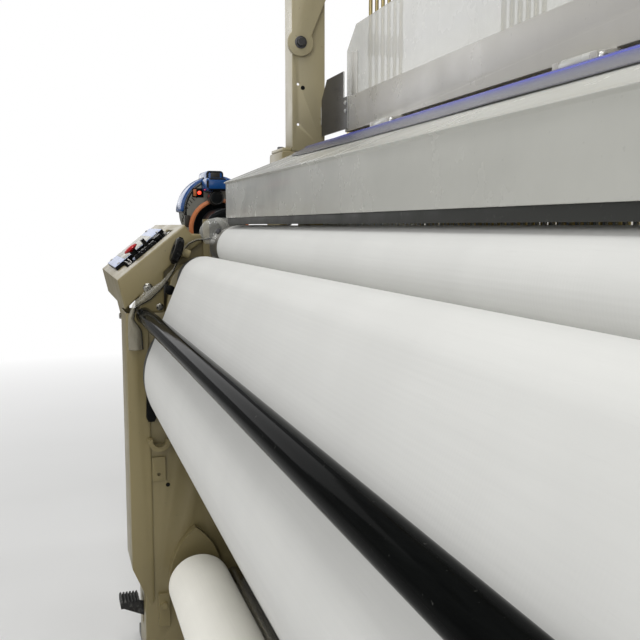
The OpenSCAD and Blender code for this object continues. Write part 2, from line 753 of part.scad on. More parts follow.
// Warp beam with ribbed flanges, and the yarn on it
beam_half = cloth_w / 2;
flange_w = 12;
module warp_beam() color("silver") {
  rod(beam_c, barrel_r, -beam_half, beam_half);
  rod(beam_c, beam_shaft_r, -frame_out, frame_out);
  both_ends() {
    difference() {
      rod(beam_c, flange_r, beam_half, beam_half + flange_w);
      for (a = [0:60:300])
        rod(polar(beam_c, flange_r * 0.62, a), flange_r * 0.14,
          beam_half - 1, beam_half + flange_w + 1);
    }
    rod(beam_c, 70, beam_half + flange_w - 1, frame_in - 8);
    difference() {
      rod(beam_c, flange_r, beam_half + flange_w - 1, beam_half + 24);
      rod(beam_c, flange_r - 10, beam_half + flange_w - 2, beam_half + 25);
    }
  }
}
module warp_yarn() color("white") difference() {
  rod(beam_c, yarn_r, 0.2 - beam_half, beam_half - 0.2);
  rod(beam_c, barrel_r + 0.1, -beam_half, beam_half);
}
warp_start = heald_last + 30;
warp_guides = [
  [[warp_start, cloth_top - cloth_t / 2], 0, 1],
  [rest_c, skin(rest_r, warp_t), -1],
  [beam_c, skin(yarn_r, warp_t), -1]];
module warp_sheet() color("white")
  along_x(1 - beam_half, beam_half - 1) web(warp_guides, warp_t);
module back_rest_roller() color("lightgray")
  roller(rest_c, rest_r, cloth_w / 2 + 20, journal_r, frame_in + 55);

// Sley: a rocking shaft with five swords, a beam and the reed
sword_t = 25;
sword_hub_r = rocker_r + 20;
sword_foot = 48;
module sword_outline() {
  polygon([[sley_c[0] - sword_foot, sley_c[1]],
    [sley_c[0] + sword_foot, sley_c[1]],
    [sley_c[0] + 26, sley_beam_z - 30], [sley_c[0] + sley_d / 2, sley_beam_z],
    [sley_c[0] - sley_d / 2, sley_beam_z],
    [sley_c[0] - 26, sley_beam_z - 30]]);
}
module sley_swords() color("slategray") difference() {
  union() {
    rod(sley_c, rocker_r, -frame_in - 60, frame_in + 60);
    for (x = sword_x) {
      along_x(x - sword_t / 2, x + sword_t / 2) sword_outline();
      rod(sley_c, sword_hub_r, x - 45, x + 45);
    }
  }
  for (x = sword_x, k = [0, 1, 2])
    rod([sley_c[0], sley_c[1] + 120 + 85 * k], 20 - 4 * k,
      x - sword_t, x + sword_t);
}
reed_t = 4;
reed_y = sley_c[0] - 8;
groove = 0.1;
module sley_beam() color("silver") along_x(-sley_len, sley_len) difference() {
  union() {
    rect([sley_c[0] - sley_d / 2, sley_c[0] + sley_d / 2],
      [sley_beam_z, sley_beam_z + sley_beam_h]);
    rect([reed_y - reed_t / 2 - 8, reed_y + reed_t / 2 + 8],
      [sley_beam_z + sley_beam_h - 1, sley_beam_z + sley_beam_h + 10]);
  }
  rect([sley_c[0] + 4, sley_c[0] + sley_d / 2 - 5],
    [sley_beam_z + 5, sley_beam_z + sley_beam_h - 5]);
  rect([sley_c[0] - sley_d / 2 + 5, sley_c[0] - 2],
    [sley_beam_z + 5, sley_beam_z + 22]);
  rect([reed_y - reed_t / 2 - groove, reed_y + reed_t / 2 + groove],
    [sley_beam_z + sley_beam_h - 10, sley_beam_z + sley_beam_h + 11]);
}
reed_z = sley_beam_z + sley_beam_h - 10;
reed_half = cloth_w / 2 + 10;
dent_pitch = cloth_w / dents;
module reed() color("lightsteelblue")
  translate([0, reed_y + reed_t / 2, 0]) rotate([90, 0, 0])
    linear_extrude(reed_t) difference() {
      translate([-reed_half, reed_z]) square([2 * reed_half, reed_h]);
      for (i = [0:dents - 1])
        translate([(i + 0.5) * dent_pitch - cloth_w / 2, reed_z + 24])
          translate([-dent_pitch * 0.36, 0])
            square([dent_pitch * 0.72, reed_h - 32]);
    }

// Heald frame k: two rails, two stays, a comb of healds, hangers and pullers
rail_h = 38;
stay_w = 22;
wire_pitch = (2 * heald_half - 2 * stay_w) / wires;
module heald_frame(k) {
  y = heald_y0 + (k - 1) * heald_pitch;
  top = heald_bottom + heald_h;
  translate([0, y, 0]) {
    translate([0, heald_t / 2, 0]) rotate([90, 0, 0])
      linear_extrude(heald_t) difference() {
        translate([-heald_half, heald_bottom]) square([2 * heald_half, heald_h]);
        translate([stay_w - heald_half, heald_bottom + rail_h])
          square([2 * (heald_half - stay_w), heald_h - 2 * rail_h]);
      }
    translate([0, 1, 0]) rotate([90, 0, 0]) linear_extrude(2) difference() {
      translate([1 - heald_half, heald_bottom + rail_h / 2])
        square([2 * heald_half - 2, heald_h - rail_h]);
      for (i = [0:wires - 1])
        translate([(i + 0.08) * wire_pitch + stay_w - heald_half,
          heald_bottom + rail_h + 5])
          square([wire_pitch * 0.84, heald_h - 2 * rail_h - 10]);
    }
    for (x = hanger_x) {
      translate([x, 0, top - 2]) cylinder(r = rod_r, h = rod_top - top + 2);
      block([x - 9, -heald_t / 2, top - 1], [x + 9, heald_t / 2, top + 24]);
      translate([x, 0, top + 120]) cylinder(r = 6, h = 44);
    }
    for (x = puller_x)
      translate([x, 0, 232]) cylinder(r = rod_r, h = heald_bottom - 230);
  }
}
module heald_frame_1() color("goldenrod") heald_frame(1);
module heald_frame_2() color("goldenrod") heald_frame(2);
module heald_frame_3() color("goldenrod") heald_frame(3);
module heald_frame_4() color("goldenrod") heald_frame(4);
module heald_frame_5() color("goldenrod") heald_frame(5);
module heald_frame_6() color("goldenrod") heald_frame(6);

// Grooved blocks that guide the ends of the heald frames
guide_free = 0.5;
module heald_guides() color("dimgray") both_ends() difference() {
  block([heald_half - 14, heald_y0 - 14, cloth_top - 100],
    [frame_in, heald_last + 14, cloth_top + 90]);
  for (k = [0:heald_n - 1])
    block([heald_half - 15, heald_y0 + k * heald_pitch - heald_t / 2
      - guide_free, cloth_top - 101], [heald_half + 2,
      heald_y0 + k * heald_pitch + heald_t / 2 + guide_free, cloth_top + 91]);
}

// Closed boxes that hold the return springs, slotted for the pullers
module return_spring_boxes() color("dimgray") for (x = puller_x)
  translate([x, 0, 0]) difference() {
    block([-100, heald_y0 - 20, centre_tie_z[1]],
      [100, heald_last + 20, centre_tie_z[1] + 170]);
    block([-94, heald_y0 - 14, centre_tie_z[1] + 6],
      [94, heald_last + 14, centre_tie_z[1] + 164]);
    block([-9, heald_y0 - 8, centre_tie_z[1] + 160],
      [9, heald_last + 8, centre_tie_z[1] + 171]);
  }

// Shedding box at the right end: a ribbed casting with a motor in front
dobby_x = [frame_out + 10, frame_out + 310];
dobby_z = cloth_top + 230;
dobby_y = [-190, 210];
dobby_h = 760;
module dobby_housing() color("black") {
  difference() {
    along_x(dobby_x[0], dobby_x[1]) polygon([[dobby_y[0] + 60, dobby_z],
      [dobby_y[1] - 90, dobby_z], [dobby_y[1], dobby_z + 120],
      [dobby_y[1], dobby_z + dobby_h - 60],
      [dobby_y[1] - 60, dobby_z + dobby_h],
      [dobby_y[0], dobby_z + dobby_h], [dobby_y[0], dobby_z + 90]]);
    along_x(dobby_x[1] - 16, dobby_x[1] + 1) {
      rect([dobby_y[0] + 40, -10], [dobby_z + 330, dobby_z + 500]);
      rect([20, dobby_y[1] - 40], [dobby_z + 330, dobby_z + 500]);
      polygon([[dobby_y[0] + 50, dobby_z + 110], [-10, dobby_z + 60],
        [-10, dobby_z + 290], [dobby_y[0] + 40, dobby_z + 290]]);
      polygon([[20, dobby_z + 60], [dobby_y[1] - 90, dobby_z + 60],
        [dobby_y[1] - 40, dobby_z + 130], [dobby_y[1] - 40, dobby_z + 290],
        [20, dobby_z + 290]]);
      rect([dobby_y[0] + 40, dobby_y[1] - 60],
        [dobby_z + 550, dobby_z + 700]);
    }
  }
  for (i = [0:5]) translate([0, 0, dobby_z + 340 + 28 * i])
    block([dobby_x[0] + 30, dobby_y[0] - 14, 0],
      [dobby_x[1] - 30, dobby_y[0] + 1, 10]);
  translate([(dobby_x[0] + dobby_x[1]) / 2, dobby_y[0] - 180,
    dobby_z + dobby_h - 120]) rotate([-90, 0, 0]) {
    cylinder(r = 80, h = 182);
    for (i = [0:7]) translate([0, 0, 18 + 18 * i]) cylinder(r = 88, h = 7);
    translate([0, 0, -30]) cylinder(r = 72, h = 31);
  }
}

// Gusseted bracket under the shedding box
module dobby_bracket() color("ivory") {
  block([frame_out - 60, -130, column_z], [frame_out, 40, dobby_z + 60]);
  block([frame_out, -130, dobby_z - 14], [dobby_x[1], 100, dobby_z]);
  for (y = [-130, 88]) translate([0, y + 12, 0]) rotate([90, 0, 0])
    linear_extrude(12) polygon([[frame_out, column_z - 130],
      [frame_out + 20, column_z - 130], [dobby_x[1], dobby_z - 14],
      [frame_out, dobby_z - 14]]);
}

// Motor at the right end, with its foot on the side frame
motor_r = 95;
motor_x0 = pulley_x + belt_w + 30;
module drive_motor() color("slategray") {
  difference() {
    union() {
      rod(motor_c, motor_r, motor_x0, motor_x0 + 250);
      rod(motor_c, 70, motor_x0 - 12, motor_x0 + 1);
      for (i = [0:9]) rod(motor_c, motor_r + 8, motor_x0 + 30 + 20 * i,
        motor_x0 + 36 + 20 * i);
    }
    rod(motor_c, motor_shaft_r + run_fit, motor_x0 - 13, motor_x0 + 50);
  }
  block([frame_out, motor_c[0] - 110, motor_c[1] - motor_r - 20],
    [motor_x0 + 230, motor_c[0] + 110, motor_c[1] - motor_r - 4]);
  for (s = [-1, 1]) block([motor_x0 + 20, motor_c[0] + s * 70 - 12,
    motor_c[1] - motor_r - 5], [motor_x0 + 210, motor_c[0] + s * 70 + 12,
    motor_c[1] - 55]);
  block([frame_out, motor_c[0] - 110, motor_c[1] - motor_r - 60],
    [frame_out + 14, -40, motor_c[1] - motor_r - 19]);
}

// Pulley with a rim, spokes and a hub
module pulley(c, r, hub) difference() {
  rod(c, r, pulley_x, pulley_x + belt_w);
  difference() {
    union() {
      rod(c, r - rim_t, pulley_x - 1, pulley_x + belt_w / 2 - 8);
      rod(c, r - rim_t, pulley_x + belt_w / 2 + 8, pulley_x + belt_w + 1);
    }
    rod(c, hub, pulley_x - 2, pulley_x + belt_w + 2);
  }
  for (a = [0:60:300])
    rod(polar(c, (r - rim_t + hub) / 2, a), (r - rim_t - hub) * 0.36,
      pulley_x - 1, pulley_x + belt_w + 1);
}
module motor_pulley() color("dimgray") {
  rod(motor_c, motor_pulley_r, pulley_x, pulley_x + belt_w);
  rod(motor_c, motor_shaft_r, pulley_x - 10, motor_x0 + 40);
}
module drive_pulley() color("dimgray") {
  pulley(pulley_c, pulley_r, 60);
  rod(pulley_c, pulley_shaft_r, frame_in + 24, pulley_x + belt_w + 10);
  rod(pulley_c, 45, frame_out + 4, pulley_x + 1);
}
belt_guides = [
  [pulley_c, pulley_r + 0.3 + belt_t / 2, 1],
  [motor_c, motor_pulley_r + 0.3 + belt_t / 2, 1]];
function belt_side(off) = let (h0 = heading(belt_guides[0], belt_guides[1]),
    h1 = heading(belt_guides[1], belt_guides[0]),
    a = turn_left(h0, h1), b = 360 - a)
  concat([for (j = [0:18]) polar(motor_c, belt_guides[1][1] + off,
      h0 - 90 + a * j / 18)],
    [for (j = [0:36]) polar(pulley_c, belt_guides[0][1] + off,
      h1 - 90 + b * j / 36)]);
module drive_belt() color("black")
  along_x(pulley_x + 2, pulley_x + belt_w - 2) difference() {
    polygon(belt_side(belt_t / 2));
    polygon(belt_side(-belt_t / 2));
  }

// Folded cover and second stop station at the right end
cover_w = 5;
cover_x0 = frame_out + 4;
station_x = frame_out + 260;
module right_end_cover() color("darkkhaki") difference() {
  union() {
    difference() {
      along_x(cover_x0, cover_x1) polygon([[-700, 130], [430, 130],
        [430, 700], [300, 800], [-500, 800], [-528, cloth_top - 19],
        [-552, cloth_top - 19], desk_high, desk_low, [-701, cloth_top - 185]]);
      along_x(cover_x0 - 1, cover_x1 - cover_w) polygon([
        [-700 + cover_w, 130 + cover_w], [430 - cover_w, 130 + cover_w],
        [430 - cover_w, 700], [300, 800 - cover_w], [-640, 800 - cover_w],
        [-696, cloth_top - 190]]);
    }
    for (y = [-560, 330]) block([frame_out, y, 130], [cover_x0 + 10, y + 60, 150]);
    for (y = [-500, 200]) block([frame_out, y, 780], [cover_x0 + 10, y + 60, 800]);
  }
  on_desk(station_x, desk_len / 2) stem_hole(9);
}
module right_stop_button() color("red")
  on_desk(station_x, desk_len / 2) mushroom();

// Weft feeder: a round body under a hood with a snout that carries the yarn
// eye, a drum in front, and the ring that lays the yarn on it
ring_r = 80;
shell_c = feeder_c + [0, 45];
shell_r = 87;
feeder_hood_r = 96;
snout_x = feeder_x + 48;
// A rectangle of the feeder's [y, z] offsets with round corners
module feeder_outline(y, z, r) translate(feeder_c) {
  rect([y[0] - r, y[1] + r], z);
  rect(y, [z[0] - r, z[1] + r]);
  for (a = y, b = z) translate([a, b]) circle(r = r);
}
module weft_feeder() color("darkslategray") {
  rod(shell_c, shell_r, feeder_x - 130, feeder_x - 22);
  rod(feeder_c, 62, feeder_x - 150, feeder_x - 14);
  along_x(feeder_x - 122, feeder_x - 30) intersection() {
    translate(shell_c) circle(r = feeder_hood_r);
    translate(shell_c - [feeder_hood_r, 0]) square([2 * feeder_hood_r, feeder_hood_r]);
  }
  along_x(feeder_x - 100, snout_x) feeder_outline([-28, 4], [110, 119], 12);
  along_x(feeder_x - 108, feeder_x + 12)
    feeder_outline([-25, 2], [110, 142], 9);
  rod(feeder_c + [-14, 80], 19, feeder_x + 14, snout_x - 4);
  rod(feeder_c, 12, feeder_x - 15, feeder_x + 95);
  translate([feeder_x + 12, feeder_c[0], feeder_c[1]]) rotate([0, 90, 0])
    cylinder(r1 = 54, r2 = 52, h = 83);
  block([feeder_x - 140, feeder_c[0] - 30, feeder_c[1] - 95],
    [feeder_x - 50, feeder_c[0] + 30, feeder_c[1] - 30]);
  block([feeder_x - 110, feeder_c[0] - 15, 700],
    [feeder_x - 80, feeder_c[0] + 15, feeder_c[1] - 90]);
  block([feeder_x - 110, feeder_c[0] - 15, 690],
    [-frame_out, feeder_c[0] + 15, 715]);
}
module feeder_ring() color("orange")
  translate([feeder_x - 10, feeder_c[0], feeder_c[1]]) rotate([0, 90, 0])
    rotate_extrude() polygon([[12 + run_fit, 0], [ring_r - 6, 0],
      [ring_r, 4], [ring_r, 12], [ring_r - 6, 16], [ring_r - 10, 16],
      [ring_r - 10, 5], [12 + run_fit, 5]]);

// Water nozzle on its bracket at the left side frame
nozzle_c = [-300, cloth_top + 8];
module weft_nozzle() color("silver") {
  translate([-frame_out - 70, nozzle_c[0], nozzle_c[1]]) rotate([0, 90, 0])
    rotate_extrude() polygon([[2.5, 0], [14, 0], [14, 46], [9, 54],
      [9, 96], [3.5, 124], [2.5, 124]]);
  difference() {
    block([-frame_out - 66, nozzle_c[0] - 22, nozzle_c[1] - 60],
      [-frame_out - 30, nozzle_c[0] + 22, nozzle_c[1] + 10]);
    rod(nozzle_c, 13.9, -frame_out - 67, -frame_out - 29);
  }
  block([-frame_out - 66, nozzle_c[0] - 22, nozzle_c[1] - 72],
    [-frame_out, nozzle_c[0] + 22, nozzle_c[1] - 59]);
}

// Foot pedal: a ribbed pad on a cranked lever, on a pin in the leg
module foot_pedal() color("black") translate([-frame_in - pedal_in, 0, 0]) {
  along_x(-8, 8) polygon([[-722, 140], [-722, 148], [-684, 150],
    [pedal_c[0] + 8, 130], [pedal_c[0] + 8, 110], [pedal_c[0] - 8, 108]]);
  along_x(-28, 28) polygon(concat([[-682, 149], [-726, 147]],
    [for (i = [0:5]) each [[-726 + 7.4 * i, 160], [-724 + 7.4 * i, 164],
      [-721 + 7.4 * i, 164], [-719.8 + 7.4 * i, 158]]], [[-682, 158]]));
  rod(pedal_c, 16, -12, 12);
  rod(pedal_c, pedal_pin_r, -24, 24);
}

// Signal light on a bent stem at the right end of the top beam
light_at = [frame_in - 60, (beam_y[0] + beam_y[1]) / 2, beam_z[1]];
module stack_light() color("dimgray") translate(light_at) {
  cylinder(r = 22, h = 6);
  cylinder(r = 8, h = 90);
  translate([0, 0, 89]) cylinder(r = 20, h = 20);
  for (i = [0:3]) translate([0, 0, 109 + 34 * i]) {
    translate([0, 0, -1]) cylinder(r = 19, h = 32);
    translate([0, 0, 30]) cylinder(r = 20, h = 4);
  }
  translate([0, 0, 244]) cylinder(r1 = 20, r2 = 14, h = 8);
}

left_side_frame();
right_side_frame();
machine_feet();
leg_covers();
cross_beams();
columns();
column_arms();
top_beam();
front_hood();
hood_seal_strip();
upper_front_panel();
splash_guard();
operator_box();
switch_plate();
stop_button();
start_button();
reverse_button();
selector_switch();
right_stop_button();
upper_hand_knob();
clutch_lever();
roller_brackets();
roller_end_cap();
vinyl_cover();
guard_tube();
breast_roller();
guide_roller();
take_up_roller();
press_roller();
cloth_roll();
cloth_roll_bearings();
cloth_web();
spreader_pipe();
warp_beam();
warp_yarn();
warp_sheet();
back_rest_roller();
sley_swords();
sley_beam();
reed();
heald_frame_1();
heald_frame_2();
heald_frame_3();
heald_frame_4();
heald_frame_5();
heald_frame_6();
heald_guides();
return_spring_boxes();
dobby_housing();
dobby_bracket();
drive_motor();
motor_pulley();
drive_pulley();
drive_belt();
right_end_cover();
weft_feeder();
feeder_ring();
weft_nozzle();
foot_pedal();
stack_light();
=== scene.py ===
# Looks of a shuttleless power loom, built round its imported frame. Metres, X along the loom, +Z up.
import json
import math
import bpy
from mathutils import Matrix, Vector

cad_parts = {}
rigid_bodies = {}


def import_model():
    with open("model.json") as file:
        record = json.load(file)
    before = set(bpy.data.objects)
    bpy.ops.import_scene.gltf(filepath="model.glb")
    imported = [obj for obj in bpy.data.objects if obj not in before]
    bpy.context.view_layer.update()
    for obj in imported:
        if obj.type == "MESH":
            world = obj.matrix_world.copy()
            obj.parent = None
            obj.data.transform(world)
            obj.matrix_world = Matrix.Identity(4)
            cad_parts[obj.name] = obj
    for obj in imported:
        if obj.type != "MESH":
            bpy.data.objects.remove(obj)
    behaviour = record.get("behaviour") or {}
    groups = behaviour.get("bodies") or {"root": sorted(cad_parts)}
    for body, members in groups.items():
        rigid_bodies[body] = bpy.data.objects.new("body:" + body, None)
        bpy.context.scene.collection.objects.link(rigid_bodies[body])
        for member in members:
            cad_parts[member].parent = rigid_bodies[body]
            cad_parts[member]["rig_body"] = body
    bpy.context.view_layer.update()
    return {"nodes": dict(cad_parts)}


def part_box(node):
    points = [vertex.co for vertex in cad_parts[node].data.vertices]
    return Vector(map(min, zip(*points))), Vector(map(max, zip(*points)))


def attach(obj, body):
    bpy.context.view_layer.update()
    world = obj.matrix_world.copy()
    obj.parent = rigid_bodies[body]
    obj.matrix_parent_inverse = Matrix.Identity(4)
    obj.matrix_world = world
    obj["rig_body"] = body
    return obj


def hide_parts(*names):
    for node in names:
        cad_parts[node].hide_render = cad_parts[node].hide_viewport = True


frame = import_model()

bl_info = {
    "name": "Power loom finishes",
    "version": (1, 0, 0),
    "blender": (4, 5, 0),
    "location": "View3D > Sidebar > Loom",
    "description": "Finishes, fittings and cloth of a power loom",
    "category": "Object",
}

UP = (0.0, 0.0, 1.0)
FORWARD = (0.0, -1.0, 0.0)
TO_RIGHT = (1.0, 0.0, 0.0)
TO_LEFT = (-1.0, 0.0, 0.0)
MM = 0.001
FIXED = "machine_frame"


def mm(*values):
    """Millimetres as a tuple of metres."""
    return tuple(value * MM for value in values)


def mm_all(*points):
    """Points in millimetres as a list of points in metres."""
    return [mm(*point) for point in points]


# Selection and small mesh steps

def deselect():
    active = bpy.context.view_layer.objects.active
    if active is not None and active.mode != "OBJECT":
        bpy.ops.object.mode_set(mode="OBJECT")
    bpy.ops.object.select_all(action="DESELECT")


def pick(*pieces):
    deselect()
    for piece in pieces:
        piece.select_set(True)
    bpy.context.view_layer.objects.active = pieces[0]
    return pieces[0]


def apply_place(piece):
    pick(piece)
    bpy.ops.object.transform_apply(location=True, rotation=True, scale=True)
    return piece


def moved(piece, matrix):
    """Takes a piece through a matrix and applies it to the mesh."""
    piece.matrix_world = matrix
    bpy.context.view_layer.update()
    return apply_place(piece)


def newest(name):
    """The object that was just added, with its name."""
    piece = bpy.context.view_layer.objects.active
    piece.name = name
    return piece


def duplicate(piece):
    pick(piece)
    bpy.ops.object.duplicate()
    return bpy.context.view_layer.objects.active


def apply_modifiers(piece):
    pick(piece)
    for modifier in list(piece.modifiers):
        bpy.ops.object.modifier_apply(modifier=modifier.name)
    return piece


def smooth(piece, degrees=35.0):
    pick(piece)
    bpy.ops.object.shade_smooth_by_angle(angle=math.radians(degrees))
    return piece


def round_edges(piece, width, segments=2, degrees=30.0, clamp=True):
    modifier = piece.modifiers.new("edge", "BEVEL")
    modifier.width = width
    modifier.segments = segments
    modifier.limit_method = "ANGLE"
    modifier.angle_limit = math.radians(degrees)
    modifier.use_clamp_overlap = clamp
    apply_modifiers(piece)
    return smooth(piece)


def add_wall(piece, thickness):
    """Gives a thin sheet its thickness, half on each side."""
    wall = piece.modifiers.new("wall", "SOLIDIFY")
    wall.thickness = thickness
    wall.offset = 0.0
    return apply_modifiers(piece)


def face_outward(piece):
    pick(piece)
    bpy.ops.object.mode_set(mode="EDIT")
    bpy.ops.mesh.select_all(action="SELECT")
    bpy.ops.mesh.normals_make_consistent(inside=False)
    bpy.ops.object.mode_set(mode="OBJECT")
    return piece


def join(name, pieces):
    pick(*pieces)
    if len(pieces) > 1:
        bpy.ops.object.join()
    made = bpy.context.view_layer.objects.active
    made.name = name
    made.data.name = name
    return made


def turn_to(direction):
    """The rotation that takes +Z to a direction."""
    return Vector(direction).normalized().to_track_quat("Z", "Y").to_matrix().to_4x4()


def put(piece, at, direction=UP, spin=0.0):
    """Stands a piece made on +Z at a point, along a direction, spun about itself first."""
    return moved(piece, Matrix.Translation(Vector(at)) @ turn_to(direction) @ Matrix.Rotation(spin, 4, "Z"))


def copies(name, model, places):
    """One object of copies of a model that stands on +Z; places hold (point, direction, spin)."""
    made = [put(duplicate(model), *place) for place in places]
    pick(model)
    bpy.ops.object.delete()
    return join(name, made)


# Primitives shaped as by hand

def block(name, low, high, edge=0.0, segments=2):
    low, high = Vector(low), Vector(high)
    deselect()
    bpy.ops.mesh.primitive_cube_add(size=1.0, location=(low + high) / 2)
    piece = newest(name)
    piece.scale = high - low
    apply_place(piece)
    if edge:
        round_edges(piece, edge, segments)
    return piece


def turned(name, profile, steps=32):
    """A turned piece about +Z from the origin: profile holds (height, radius) from its foot to its top."""
    deselect()
    height, radius = profile[0]
    bpy.ops.mesh.primitive_circle_add(
        vertices=steps, radius=radius, fill_type="NGON", location=(0.0, 0.0, height))
    piece = apply_place(newest(name))
    bpy.ops.object.mode_set(mode="EDIT")
    bpy.ops.mesh.select_all(action="SELECT")
    for next_height, next_radius in profile[1:]:
        bpy.ops.mesh.extrude_region_move(
            TRANSFORM_OT_translate={"value": (0.0, 0.0, next_height - height)})
        ratio = next_radius / radius
        bpy.ops.transform.resize(value=(ratio, ratio, 1.0), center_override=(0.0, 0.0, next_height))
        height, radius = next_height, next_radius
    bpy.ops.object.mode_set(mode="OBJECT")
    face_outward(piece)
    return smooth(piece)


def prism(name, outline, depth, edge=0.0, segments=2):
    """A flat outline of (x, y) points drawn up from z 0 to depth."""
    deselect()
    bpy.ops.mesh.primitive_circle_add(vertices=len(outline), radius=1.0, fill_type="NGON")
    piece = newest(name)
    for vertex, point in zip(piece.data.vertices, outline):
        vertex.co = (point[0], point[1], 0.0)
    bpy.ops.object.mode_set(mode="EDIT")
    bpy.ops.mesh.select_all(action="SELECT")
    bpy.ops.mesh.extrude_region_move(TRANSFORM_OT_translate={"value": (0.0, 0.0, depth)})
    bpy.ops.object.mode_set(mode="OBJECT")
    face_outward(piece)
    if edge:
        round_edges(piece, edge, segments)
    return piece


# Puts an (x, y) outline drawn up +Z into the (y, z) plane, drawn along +X
ALONG_X = Matrix(((0, 0, 1, 0), (1, 0, 0, 0), (0, 1, 0, 0), (0, 0, 0, 1)))


def side_prism(name, outline, x0, x1, edge=0.0, segments=2):
    """An outline of (y, z) points drawn along X."""
    piece = prism(name, outline, x1 - x0, edge, segments)
    return moved(piece, Matrix.Translation((x0, 0.0, 0.0)) @ ALONG_X)


def wire(name, points, radius):
    """A round rod or tube along points."""
    curve = bpy.data.curves.new(name, "CURVE")
    curve.dimensions = "3D"
    curve.bevel_depth = radius
    curve.bevel_resolution = 4
    curve.use_fill_caps = True
    spline = curve.splines.new("POLY")
    spline.points.add(len(points) - 1)
    for target, point in zip(spline.points, points):
        target.co = (*point, 1.0)
    piece = bpy.data.objects.new(name, curve)
    bpy.context.scene.collection.objects.link(piece)
    pick(piece)
    bpy.ops.object.convert(target="MESH")
    piece = bpy.context.view_layer.objects.active
    return smooth(piece, 50.0)


def both_ends(name, piece):
    """A piece and its mirror image at the other end of the loom, as one."""
    other = duplicate(piece)
    other.scale = (-1.0, 1.0, 1.0)
    face_outward(apply_place(other))
    return join(name, [piece, other])


def finish(piece, name, body, slot, material=None):
    """Names a piece, gives it its finish and lets it ride on its body."""
    piece.name = name
    piece.data.name = name
    piece.data.materials.clear()
    piece.data.materials.append(material or finish_of(slot))
    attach(piece, body)
    return piece


def dressed(node, name, edge, segments):
    """A copy of a frame node with merged faces and rounded edges, which stands for it."""
    piece = duplicate(frame["nodes"][node])
    piece.parent = None
    piece.matrix_world = Matrix.Identity(4)
    for key in list(piece.keys()):
        if key.startswith("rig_"):
            del piece[key]
    bpy.ops.mesh.customdata_custom_splitnormals_clear()
    bpy.ops.object.mode_set(mode="EDIT")
    bpy.ops.mesh.select_all(action="SELECT")
    bpy.ops.mesh.remove_doubles(threshold=2e-5)
    bpy.ops.mesh.dissolve_limited(angle_limit=math.radians(1.0))
    bpy.ops.object.mode_set(mode="OBJECT")
    piece.data.materials.clear()
    round_edges(piece, edge, segments, clamp=False)
    piece.name = name
    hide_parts(node)
    return piece


# Places taken from the frame

def span(node, axis):
    low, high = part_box(node)
    return low["xyz".index(axis)], high["xyz".index(axis)]


FRAME_IN = span("left_side_frame", "x")[1] * -1.0
CLOTH_HALF = span("cloth_web", "x")[1]
CLOTH_TOP = span("cloth_web", "z")[1]


# Procedural finishes

# Phase in radians that the wave texture runs through over one metre at scale 1
WAVE_PHASE = 20.0


class Graph:
    """The node graph of one material."""

    def __init__(self, name):
        self.material = bpy.data.materials.new(name)
        self.material.use_nodes = True
        self.tree = self.material.node_tree
        self.shader = self.tree.nodes["Principled BSDF"]
        self.output = self.tree.nodes["Material Output"]
        self.place = self.add("TexCoord").outputs["Object"]

    def add(self, kind, inputs=None, **settings):
        made = self.tree.nodes.new("ShaderNode" + kind)
        for key, value in settings.items():
            setattr(made, key, value)
        for key, value in (inputs or {}).items():
            if isinstance(value, bpy.types.NodeSocket):
                self.tree.links.new(value, made.inputs[key])
            else:
                made.inputs[key].default_value = value
        return made

    def link(self, source, target):
        self.tree.links.new(source, target)

    def stretched(self, scale, place=None):
        """Places on the object, or given ones, scaled along each axis."""
        return self.add("Mapping", {"Vector": place or self.place, "Scale": scale}).outputs["Vector"]

    def noise(self, scale, detail=3.0, rough=0.5, place=None):
        made = self.add("TexNoise", {"Vector": place or self.place, "Scale": scale, "Detail": detail,
                                     "Roughness": rough})
        return made.outputs["Fac"]

    def wave(self, phase, place=None, direction="X"):
        """Sine bands that run through a phase, in radians, over each metre."""
        made = self.add("TexWave", {"Vector": place or self.place, "Scale": phase / WAVE_PHASE},
                        bands_direction=direction)
        return made.outputs["Fac"]

    def ramp(self, value, stops):
        made = self.add("ValToRGB", {"Fac": value})
        elements = made.color_ramp.elements
        while len(elements) < len(stops):
            elements.new(0.5)
        for element, (position, colour) in zip(elements, stops):
            element.position = position
            element.color = colour if len(colour) == 4 else (*colour, 1.0)
        return made.outputs["Color"]

    def fade(self, value, low, high, to_low=0.0, to_high=1.0):
        made = self.add("MapRange", {"Value": value, "From Min": low, "From Max": high,
                                     "To Min": to_low, "To Max": to_high})
        return made.outputs["Result"]

    def math(self, operation, first, second=0.0):
        return self.add("Math", {0: first, 1: second}, operation=operation).outputs["Value"]

    def plus(self, first, second):
        return self.math("ADD", first, second)

    def times(self, first, second):
        return self.math("MULTIPLY", first, second)

    def mix(self, share, first, second):
        made = self.add("Mix", data_type="RGBA")
        for index, value in ((0, share), (6, first), (7, second)):
            if isinstance(value, bpy.types.NodeSocket):
                self.link(value, made.inputs[index])
            else:
                made.inputs[index].default_value = value if index == 0 or len(value) == 4 else (*value, 1.0)
        return made.outputs[2]

    def bump(self, height, distance, strength, normal=None):
        inputs = {"Height": height, "Distance": distance, "Strength": strength}
        if normal is not None:
            inputs["Normal"] = normal
        return self.add("Bump", inputs).outputs["Normal"]

    def edges(self, radius):
        """A share that is high at sharp edges, and the rounded normal."""
        soft = self.add("Bevel", {"Radius": radius}, samples=4).outputs["Normal"]
        hard = self.add("NewGeometry").outputs["Normal"]
        both = self.add("VectorMath", {0: soft, 1: hard}, operation="DOT_PRODUCT").outputs["Value"]
        return self.fade(both, 0.985, 0.80), soft

    def wear(self, **values):
        for key, value in values.items():
            socket = self.shader.inputs[key.replace("_", " ")]
            if isinstance(value, bpy.types.NodeSocket):
                self.link(value, socket)
            else:
                socket.default_value = value


def lighter(colour, factor):
    return tuple(min(1.0, part * factor) for part in colour[:3]) + (1.0,)


